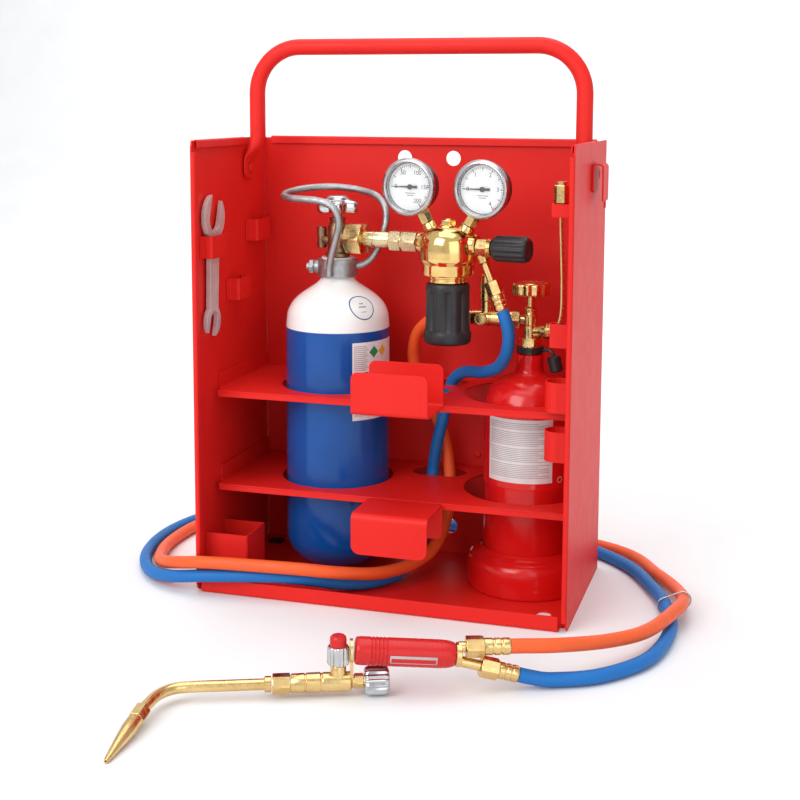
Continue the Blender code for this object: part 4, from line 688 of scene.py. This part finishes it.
def outlet_pieces():
    """The outlet valve, its knob and the hose fitting."""
    start, end = Vector((153, 0, 322)), Vector((174.2, 0, 271.2))
    aim = (end - start).normalized()
    collar = [(7, 159), (8.6, 160.5), (8.6, 162.2), (7.8, 162.6), (7.8, 163.2), (8.4, 163.8), (4, 164.8),
              (4, 170)]
    tail = [(5.2, 0), (5.2, 8), (4, 9.2), (3.7, 10), (3.7, 26.2)]
    parts = gathered(on_axis_x(hex_nut(16, 149.5, 160, 1), OUTLET_Z),
                     on_axis_x(flat_ended(collar, 36), OUTLET_Z),
                     moved(flat_ended(tail, 28), frame_at(start, aim)))
    add_piece("outlet_valve", parts, BRASS, "rack", REGULATOR, ("outlet_valve_body",), edge=0.3)
    rows = [(0.1, 0, 0), (4.5, 0, 0), (10, 0, 0), (11.2, 0.3, 1), (12.1, 1, 3), (12.3, 1.2, 28),
            (12, 1, 30.5), (11.2, 0.4, 32.8), (9.8, 0, 34), (8.5, 0, 34.4), (8, 0, 34), (0.1, 0, 33.8)]
    knob = moved(waved(rows, 14, 8), frame_at((166.2, 0, OUTLET_Z), (1, 0, 0)))
    add_piece("outlet_knob_grip", knob, BLACK, "outlet_knob", REGULATOR, ("outlet_valve_knob",), angle=40)
    first = start + aim * 26.6
    return fitting_piece("regulator_hose_end", "oxygen_hose_fitting", REGULATOR @ frame_at(first, aim), 13,
                         13.5, 15)


def fitting_piece(name, node, place, flats, nut_length, ferrule_length):
    """A union nut and a ferrule with crimp grooves."""
    n, end = nut_length, nut_length + ferrule_length
    ferrule = [(5.2, n - 0.5), (6.4, n + 0.4), (6.7, n + 1.4)]
    for part in (0.36, 0.66):
        z = n + ferrule_length * part
        ferrule += [(6.7, z - 1.3), (6.2, z - 0.6), (6.2, z + 0.6), (6.7, z + 1.3)]
    ferrule += [(6.7, end - 1.2), (6.4, end - 0.3), (6.1, end)]
    whole = gathered(hex_nut(flats, 0, n, 0.9), flat_ended(ferrule, 40))
    return add_piece(name, whole, BRASS, "rack", place, (node,), edge=0.2)


# ---------------------------------------------------------------- gauges
def digits(text, size, place):
    """Plain dial numbers as a thin mesh."""
    curve = bpy.data.curves.new("digits", "FONT")
    curve.body = text
    curve.size = size
    curve.align_x, curve.align_y = "CENTER", "CENTER"
    curve.extrude = 0.03
    holder = put("digits", curve)
    mesh = bpy.data.meshes.new_from_object(holder)
    bpy.data.objects.remove(holder)
    bm = bmesh.new()
    bm.from_mesh(mesh)
    bpy.data.meshes.remove(mesh)
    return moved(bm, place)


def gauge_pieces(name, s, side, numbers, pointer_body):
    """A gauge: black case, bright bezel, dial with its scale, and pointer."""
    place = REGULATOR @ Matrix.Translation((s, -11, GAUGE_Z)) @ Matrix.Rotation(math.radians(90), 4, "X")
    case = [(20.4, -18), (22.2, -17.6), (23.4, -16.4), (23.8, -15), (24.1, -3.4), (24.1, -2.6),
            (22.6, -2.6), (22.6, -4)]
    lean = Vector((side * 0.5, 0.866, 0))
    foot = Vector((REGULATOR_X + side * 14 - s, 336 - GAUGE_Z, -11)) + lean * 14.3
    stem = moved(hex_nut(11.5, 0, 15, 0.8), frame_at(foot, lean))
    add_piece(name + "_shell", flat_ended(case, 72), BLACK_CASE, "rack", place, (name + "_case",))
    add_piece(name + "_stem", stem, BRASS, "rack", place, edge=0.2)
    bezel = [(24.1, -3), (26.2, -2.8), (26.9, -2), (27.2, -0.6), (27.2, 1), (26.8, 2.4), (26, 3.4),
             (24.9, 3.9), (24, 4), (23, 3.4), (22.6, 2.6), (22.6, 2.1), (23.8, 2.1), (23.8, 0.6),
             (22.6, 0.4), (22.6, -2.6), (24.1, -2.6)]
    add_piece(name + "_bezel", turned(bezel, 80, True), SATIN, "rack", place)
    face = [(22.2, -3.7), (22.2, -2.9)]
    add_piece(name + "_card", flat_ended(face, 64), DIAL, "rack", place, (name + "_dial",))
    marks = []
    for step in range(41):
        t = math.radians(180 - 6 * step)
        major = step % 5 == 0
        long, half = (3, 0.36) if major else (1.7, 0.18)
        turn = Matrix.Rotation(t, 4, "Z")
        marks.append(moved(block((20.5 - long, -half, -2.9), (20.5, half, -2.84)), turn))
    for i, number in enumerate(numbers):
        t = math.radians(180 - 240 * i / (len(numbers) - 1))
        at = Matrix.Translation((15 * math.cos(t), 15 * math.sin(t), -2.86))
        marks.append(digits(number, 5.6, at))
    for low, high in (((-5.5, -6.2), (5.5, -5.6)), ((-3.6, -8.2), (3.6, -7.6))):
        marks.append(block((*low, -2.9), (*high, -2.84)))
    add_piece(name + "_scale", gathered(*marks), INK, "rack", place)
    limit = [round_film((0, 0), 21.7, 20.6, 24, 1, -62, -22)]
    laid(name + "_limit", limit, on_plane(place, -2.88), 0, INK_RED)
    hand = [(-17.5, 0.3), (-17.5, -0.3), (-4, -0.65), (-2, -0.8), (7.5, -1.3), (7.5, 1.3), (-2, 0.8),
            (-4, 0.65)]
    hub = [(2.4, -2.5), (2.4, -1.1), (2.1, -0.7), (1.4, -0.6)]
    add_piece(name + "_hand", gathered(prism(hand, -2, -1.4), flat_ended(hub, 32)), INK, pointer_body,
              place, (name + "_pointer",))


# ---------------------------------------------------------------- propane bottle
def bottle_pieces():
    """The bottle with its weld seam and neck ring, its foot and its label."""
    base = [(0, 14)] + rounded_profile([(12, 14.2), (20, 15), (32, 19.5), (39.5, 27), (BOTTLE_RADIUS, 37)],
                                       2.5)
    seam = [(BOTTLE_RADIUS, 102), (BOTTLE_RADIUS + 0.3, 102.8), (BOTTLE_RADIUS + 0.3, 104.8),
            (BOTTLE_RADIUS, 105.6)]
    top = rounded_profile([(BOTTLE_RADIUS, 174), (41.2, 183), (37, 192.5), (30, 199.2), (22, 203.5),
                           (15.8, 206), (13.6, 209), (13, 214)], 1.8)
    neck = [(13, 223.6), (12.6, 225), (9.2, 225.2), (9.2, 219)]
    add_piece("bottle_shell", turned(base + seam + top + neck, 96), RED_GLOSS, "rack", PROPANE,
              ("propane_bottle",), angle=50)
    outer = rounded_profile([(43.1, 40), (46, 36.8), (52, 33.5), (55.5, 30), (56.8, 25.5)], 2)
    foot = outer + [(56.8, 4), (56.6, 2.4), (56, 1.8), (55.3, 2.2), (55.2, 25), (54, 28.5), (51, 31.8),
                    (45, 35), (43.1, 37)]
    add_piece("bottle_skirt", turned(foot, 96, True), RED_GLOSS, "rack", PROPANE, ("bottle_foot",),
              angle=50)
    body = on_turned([(BOTTLE_RADIUS, 100), (BOTTLE_RADIUS, 174)], BOTTLE, -92, 140)
    laid("bottle_label", [panel((-33, -30), (33, 30), 44, 2)], body, 0.35, PAPER)
    lines = [panel((-30, 26.2 - 1.7 * i), (30 - 11 * ((i * 5) % 4 == 0), 26.8 - 1.7 * i), 24, 1)
             for i in range(31) if i % 9 != 4]
    laid("bottle_label_print", lines, body, 0.43, INK_GREY)
    mark = [round_film((42, -28), 3, 2.4, 32, 1)]
    laid("bottle_mark", mark, body, 0.35, PAPER)


def fuel_valve_pieces():
    """The bottle valve with its handwheel, cap and hose guard."""
    stack = [(8, 212), (8.8, 213.5), (8.8, 225.5), (10.2, 225.6), (10.5, 226), (10.5, 232.6), (9.8, 233),
             (7, 240), (7, 250), (6.4, 250.6), (6.4, 252.4), (7, 253), (7, 261.5), (6.2, 262.6), (5.5, 264),
             (5.5, 266.4), (6.2, 266.8), (6.2, 268.2), (5.5, 269), (4, 270.5), (4, 278.8)]
    outlet = flat_ended([(6, 0), (6, 11), (7.2, 14.8), (7.8, 16.5), (8, 18), (7.6, 18.6), (8, 19.2),
                         (7.6, 19.8), (8, 20.4), (7.6, 21), (7.8, 22.4)], 32)
    branch = flat_ended([(5.5, 0), (5.5, 8.9)], 28)
    parts = gathered(flat_ended(stack, 40), hex_nut(19, 232.5, 240.5, 0.9),
                     moved(outlet, frame_at((0, 0, 246), (1, -0.12, 0.1))),
                     moved(branch, frame_at((0, 0, FUEL_BRANCH_Z), (-1, 0, 0))))
    add_piece("fuel_valve", parts, BRASS, "rack", PROPANE, ("propane_valve_body",), edge=0.2)
    rows = [(0.1, 0, 0), (6, 0, 0), (6.2, 0, 1.2), (15, 0.6, 1.6), (17.2, 1.4, 2.1), (18, 1.8, 3),
            (18.2, 1.8, 4.2), (18.2, 1.8, 11), (17.9, 1.6, 12.2), (17.2, 1.2, 12.7), (15, 0.4, 12.1),
            (13, 0, 11.6), (8, 0, 11.6), (6.6, 0, 12.1), (5.8, 0, 12.9), (0.1, 0, 12.9)]
    wheel = moved(waved(rows, 12, 10), Matrix.Translation((0, 0, 279.3)))
    add_piece("fuel_handwheel", wheel, BRASS, "propane_handwheel", PROPANE, ("propane_handwheel",),
              angle=50)
    right, left, z = -9.3, -57, FUEL_BRANCH_Z
    guard = gathered(on_axis_x(flat_ended([(6, left), (7.2, left + 0.6), (7.6, left + 1.4),
                                           (7.6, left + 18), (7.1, left + 18.4), (7.1, left + 19.4),
                                           (7.6, left + 19.8), (7.6, right - 7.2)], 40), z),
                     on_axis_x(hex_nut(15.5, right - 7.6, right, 0.8), z),
                     moved(flat_ended([(6.2, 0), (6.2, 8.6), (5.8, 9.6), (5.2, 9.8), (4.8, 9.2)], 36),
                           frame_at((-46.5, 0, z), (0, -1, 0))),
                     moved(flat_ended([(5.8, 0), (5.8, 16), (6.6, 17.2), (6.6, 24), (6.1, 24.4),
                                       (6.1, 25.2), (6.6, 25.6), (6.6, 39.8), (6, 41.2), (5, 41.8)], 36),
                           Matrix.Translation((-42.5, 0, z))),
                     on_axis_x(flat_ended([(6.2, left - 12), (6.8, left - 11), (6.8, left - 7.4),
                                           (6.3, left - 6.8), (6.3, left - 5.6), (6.8, left - 5),
                                           (6.8, left - 0.4), (6, left + 0.6)], 36), z))
    add_piece("hose_guard", guard, BRASS, "rack", PROPANE, ("fuel_guard",), edge=0.2)


# ---------------------------------------------------------------- torch
def torch_pieces():
    """The torch with its nozzle, grip and two knobs. Gives back its two hose fittings."""
    route = [(80.5, 0, 0), (60, 0, 0), (40, 0, 0), (22, 0, 0), (9, -1, 0), (0, -6, 0), (-6.5, -14, 0),
             (-11, -24, -0.4), (-15, -34, -1.2)]
    ring = flat_ended([(5.8, 75.2), (6.2, 75.7), (6.2, 80), (5.8, 80.4)], 36)
    neck = gathered(swept(smooth_path(route, 2.8), 4.4, 28), moved(ring, ALONG_X))
    add_piece("neck_tube", neck, BRASS, "rack", TORCH, ("torch_neck",))
    nut = moved(hex_nut(14, 81.2, 95.2, 1), ALONG_X)
    add_piece("neck_nut", nut, BRASS, "rack", TORCH, ("torch_union_nut",), edge=0.3)
    start, end = Vector((-15.15, -34.4, -1.25)), Vector((-35.2, -97.5, -9.6))
    length = (end - start).length
    cone = [(5, 14), (5.8, 15), (5.8, 29), (5.5, 31.2), (4.8, 40), (3.6, 50), (2.2, length - 3),
            (1.4, length), (0.7, length), (0.6, length - 4)]
    nozzle = gathered(flat_ended(cone, 40), hex_nut(11.5, 0, 14.5, 0.8))
    add_piece("nozzle_cone", nozzle, BRASS, "rack", TORCH @ frame_at(start, end - start), ("torch_nozzle",),
              edge=0.2)
    grip_at = TORCH @ Matrix.Translation((145.4, 0, 25)) @ Matrix.Rotation(math.radians(94.4), 4, "Y")
    r = 11
    grip = [(r - 2.2, 0), (r - 1.2, 0.4), (r - 0.4, 1.4), (r, 4)]
    for i in range(5):
        z = 12 + 3 * i
        grip += [(r, z), (r - 0.5, z + 0.5), (r - 0.5, z + 1), (r, z + 1.5)]
    grip += [(r, 67), (r - 0.3, 72), (r - 0.8, 75), (r - 1.6, 77.6), (r - 2.6, 79)]
    add_piece("grip", flat_ended(grip, 56), GRIP, "rack", grip_at, ("torch_handle",))
    faced = grip_at @ Matrix.Rotation(math.radians(-78), 4, "Z")
    side = on_rod(faced, r)
    laid("grip_plate", [panel((27, -3.4), (64, 3.4), 4, 12)], side, 0.02, SATIN)
    laid("grip_plate_inset", [panel((28, -1.2), (63, 2.4), 4, 12)], side, 0.12, INK_RED)
    body = [(6.8, 95.5), (7.4, 96.5), (7.6, 106), (7.1, 106.4), (7.1, 107.4), (7.7, 107.8), (7.8, 118.2),
            (7, 119.2), (7, 119.8), (7.6, 120.7), (7.6, 141.8), (5, 143.4), (5, 152)]
    post = flat_ended([(6.2, 0), (6.2, 12.8), (5.8, 13.6), (3.5, 13.8), (3.5, 16)], 36)
    flange = flat_ended([(9.2, 141.7), (9.2, 144)], 40)
    parts = gathered(moved(flat_ended(body, 40), ALONG_X), moved(hex_nut(10.5, 145, 152, 0.6), ALONG_X),
                     moved(post, Matrix.Translation((132.5, 0, 0))),
                     block((141.6, -4.5, 2), (144.1, 4.5, 25)),
                     moved(flange, frame_at((0, 0, 25), (1, 0, 0))))
    add_piece("torch_valve_block", parts, BRASS, "rack", TORCH, ("torch_body",), edge=0.2)
    upper, upper_end = Vector((227, 0, 25)), Vector((232.2, 0, 24.9))
    lower, lower_end = Vector((227, 0, 13.6)), Vector((244, 0, 9))
    plate = moved(flat_ended([(9, 79.3), (9.5, 79.8), (9.5, 83.4), (9, 83.8)], 40),
                  TORCH.inverted() @ grip_at)
    stubs = [moved(flat_ended([(4.2, 0), (4.2, (b - a).length)], 28), frame_at(a, b - a))
             for a, b in ((upper, upper_end), (lower, lower_end))]
    add_piece("torch_manifold", gathered(plate, *stubs), BRASS, "rack", TORCH, ("torch_tail",))
    rows = [(0.1, 0, 0), (7.8, 0.4, 0), (8.5, 0.8, 0.5), (8.8, 1, 1.4), (8.8, 1, 12.8), (8.5, 0.6, 14),
            (7.8, 0.2, 14.7), (6.6, 0, 15), (0.1, 0, 15)]
    knob = moved(waved(rows, 16, 6), Matrix.Translation((132.5, 0, 14.5)))
    add_piece("fuel_knob_grip", knob, CHROME, "torch_fuel_knob", TORCH, ("torch_fuel_knob",), angle=40)
    cap = moved(turned([(0, 14.9), (6.6, 15), (6.6, 20.5), (6.2, 22), (5, 23.2), (0, 23.5)], 40),
                Matrix.Translation((132.5, 0, 14.5)))
    add_piece("fuel_knob_cap", cap, GRIP, "torch_fuel_knob", TORCH)
    rows = [(0.1, 0, 0), (8, 0.4, 0), (9.7, 0.8, 0.7), (10.5, 1, 1.5), (11.3, 1.2, 3.8), (11.3, 1.2, 16),
            (10.9, 0.8, 17.8), (10, 0.4, 19), (8, 0, 20), (0.1, 0, 20)]
    knob = moved(waved(rows, 18, 6), frame_at((KNOB_X, 0, 0), (1, 0, 0)))
    add_piece("oxygen_knob_grip", knob, CHROME, "torch_oxygen_knob", TORCH, ("torch_oxygen_knob",),
              angle=40)
    gap = 0.3
    up_aim, low_aim = (upper_end - upper).normalized(), (lower_end - lower).normalized()
    fuel = fitting_piece("torch_fuel_end", "torch_fuel_fitting",
                         TORCH @ frame_at(upper_end + up_aim * gap, up_aim), 15, 14.5, 21)
    oxygen = fitting_piece("torch_oxygen_end", "torch_oxygen_fitting",
                           TORCH @ frame_at(lower_end + low_aim * gap, low_aim), 15, 14.5, 16.5)
    return oxygen, fuel


# ---------------------------------------------------------------- hoses
OXYGEN_ROUTE = [
    (275.7, 75.7, 270.7), (279.1, 75, 262.4), (281.8, 77.2, 248), (278.6, 83.3, 230.1),
    (267.9, 95.8, 213.9), (249, 112, 205), (227.5, 131, 200.5), (212.5, 142.3, 188.5), (206, 145.8, 166),
    (200.5, 143.6, 142), (195, 145, 118), (191, 147, 90), (190, 141.5, 57), (188.5, 121, 30),
    (180, 86, 12), (162, 58, 7.8), (138, 34.5, 10.5), (110, 16, 17.6), (80, 4.5, 21.6), (44, -3.8, 21.4),
    (8, -7.2, 18.8), (-25, -2.5, 13.6), (-58, 21, 7.8), (-84, 62, 6.2), (-96, 113, 6.2), (-93, 168, 6.2),
    (-70, 226, 6.2), (-22, 264, 6.2), (45, 277, 6.2), (115, 267.5, 6.2), (182, 252, 6.2), (260, 239, 6.2),
    (330, 222, 6.2), (384, 176, 6.2), (417, 114, 6.8), (430.9, 73.4, 8.1), (440.5, 22, 6.2),
    (430, -46, 6.2), (398, -92, 6.4), (362, -113.3, 7), (345.2, -119.7, 9.7), (336.2, -123.4, 12.3),
]
FUEL_ROUTE = [
    (224.6, 116.5, 257), (214, 116.5, 257), (201.5, 118, 254.2), (189.5, 121.5, 247), (180, 127.5, 236),
    (174.5, 134, 221.5), (173.2, 139.5, 205), (177, 144.5, 186), (184.5, 150, 167), (193.5, 155.5, 145),
    (202, 156.5, 120), (208, 151, 88), (209.5, 140, 59), (205, 111.5, 31.5), (191, 79.5, 21),
    (168, 44, 21), (138, 16, 27.5), (100, -0.5, 33), (22, -8.3, 33.2), (-13, -2.5, 28.2), (-42, 18, 19.5),
    (-66, 58, 9.4), (-80, 106, 6.3), (-79, 162, 6.2), (-63, 210, 6.2), (-20, 243, 6.2), (40, 256, 7),
    (92, 256, 11.5), (130, 260, 17.8), (165, 263.5, 19), (204, 265, 15.8), (250, 263.5, 8),
    (370, 219, 6.2), (415, 158, 6.8), (438, 111, 10.3), (446.1, 76.6, 14.2), (444, 41, 18.2),
    (425.5, -20, 19.5), (399, -64, 24.5), (366, -106, 33.2), (339.7, -121.9, 35.6), (330.5, -125.7, 35.8),
]


def hose(name, node, route, mat):
    """A hose along its route, a round curve through smoothed points."""
    world = [(CORNER + Vector(p)) * MM for p in route]
    curve = bpy.data.curves.new(name, "CURVE")
    curve.dimensions = "3D"
    curve.bevel_depth = HOSE_D / 2
    curve.bevel_resolution = 6
    curve.use_fill_caps = True
    points = smooth_path(world, 0.006)
    spline = curve.splines.new("POLY")
    spline.points.add(len(points) - 1)
    for target, point in zip(spline.points, points):
        target.co = (*point, 1)
    spline.use_smooth = True
    curve.materials.append(mat)
    made = put(name, curve)
    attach(made, "rack")
    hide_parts(node)
    return made


def ring_piece():
    """The wire link round both hoses."""
    first, second = CORNER + Vector((430.9, 73.4, 8.1)), CORNER + Vector((446.1, 76.6, 14.2))
    across = (second - first).normalized()
    way = Vector((0.14, -0.98, 0.08))
    along = (way - across * way.dot(across)).normalized()
    up = along.cross(across)
    wire = 0.8
    reach = HOSE_D / MM / 2 + 0.45 + wire
    points = []
    for centre, start in ((second, -90), (first, 90)):
        for step in range(13):
            t = math.radians(start + step * 15)
            points.append(centre + (across * math.cos(t) + up * math.sin(t)) * reach)
    return add_piece("hose_link", swept(points, wire, 16, True), SATIN, "rack", replaces=("hose_ring",))


rack_pieces()
cylinder_pieces()
guard_pieces()
valve_pieces()
regulator_pieces()
gauge_pieces("contents_gauge", 83, -1, ("0", "50", "100", "150", "200"), "contents_pointer")
gauge_pieces("outlet_gauge", 157, 1, ("0", "1", "2", "3", "4"), "outlet_pointer")
bottle_pieces()
regulator_end = outlet_pieces()
fuel_valve_pieces()
torch_oxygen_end, torch_fuel_end = torch_pieces()
link = ring_piece()
hose("hose_blue", "oxygen_hose", OXYGEN_ROUTE, BLUE_HOSE)
hose("hose_orange", "fuel_hose", FUEL_ROUTE, ORANGE_HOSE)


# ---------------------------------------------------------------- studio, in metres
def studio():
    """A pale sweep, soft lights and an even world."""
    mat = material("sweep_paper", (0.83, 0.83, 0.83), 0.85)
    set_colour(mat, blend_colour(mat, spread(mat, noise(mat, 6), 0, 1), (0.83, 0.83, 0.83),
                                 (0.80, 0.80, 0.80)))
    set_bump(mat, noise(mat, 400), 0.00002)
    profile = [(-4.0, 0.0), (1.8, 0.0)]
    profile += [(1.8 + 1.2 * math.sin(math.radians(a)), 1.2 - 1.2 * math.cos(math.radians(a)))
                for a in range(6, 91, 6)]
    profile.append((3.0, 5.0))
    bm = bmesh.new()
    left = [bm.verts.new((-6.0, y, z)) for y, z in profile]
    right = [bm.verts.new((6.0, y, z)) for y, z in profile]
    for i in range(len(profile) - 1):
        bm.faces.new((left[i], right[i], right[i + 1], left[i + 1]))
    mesh = bpy.data.meshes.new("sweep")
    bm.to_mesh(mesh)
    bm.free()
    mesh.materials.append(mat)
    mesh.shade_smooth()
    put("sweep", mesh)
    for name, at, target, size, power in (
            ("key", (-0.9, -2.0, 1.5), (0, 0, 0.2), 1.5, 33),
            ("fill", (1.5, -1.9, 0.8), (0, 0, 0.2), 1.6, 9),
            ("top", (0.1, -0.2, 2.2), (0, 0, 0), 1.8, 16),
            ("sweep_light", (-0.6, 1.0, 2.2), (-0.4, 2.8, 0.9), 2.4, 40)):
        lamp = bpy.data.lights.new(name, "AREA")
        lamp.shape = "SQUARE"
        lamp.size = size
        lamp.energy = power
        put(name, lamp).matrix_world = frame_at(Vector(at), Vector(at) - Vector(target))
    world = bpy.data.worlds.new("studio")
    world.use_nodes = True
    back = world.node_tree.nodes["Background"]
    back.inputs["Color"].default_value = (0.95, 0.97, 1.0, 1)
    back.inputs["Strength"].default_value = 0.68
    bpy.context.scene.world = world


def camera():
    """The photograph's view."""
    yaw, pitch, roll = 0.29177, 0.12442, 0.00374
    forward = Vector((-math.sin(yaw) * math.cos(pitch), math.cos(yaw) * math.cos(pitch), -math.sin(pitch)))
    right = Vector((math.cos(yaw), math.sin(yaw), 0))
    up = right.cross(forward)
    side = right * math.cos(roll) + up * math.sin(roll)
    top = up * math.cos(roll) - right * math.sin(roll)
    data = bpy.data.cameras.new("camera")
    data.lens = 61.857
    data.sensor_width = 36
    data.shift_y = -0.16
    data.clip_end = 20
    view = put("camera", data)
    turn = Matrix((side, top, -forward)).transposed().to_4x4()
    view.matrix_world = Matrix.Translation((0.36781, -1.23506, 0.46220)) @ turn
    bpy.context.scene.camera = view


studio()
camera()
bpy.context.scene.view_settings.view_transform = "Standard"
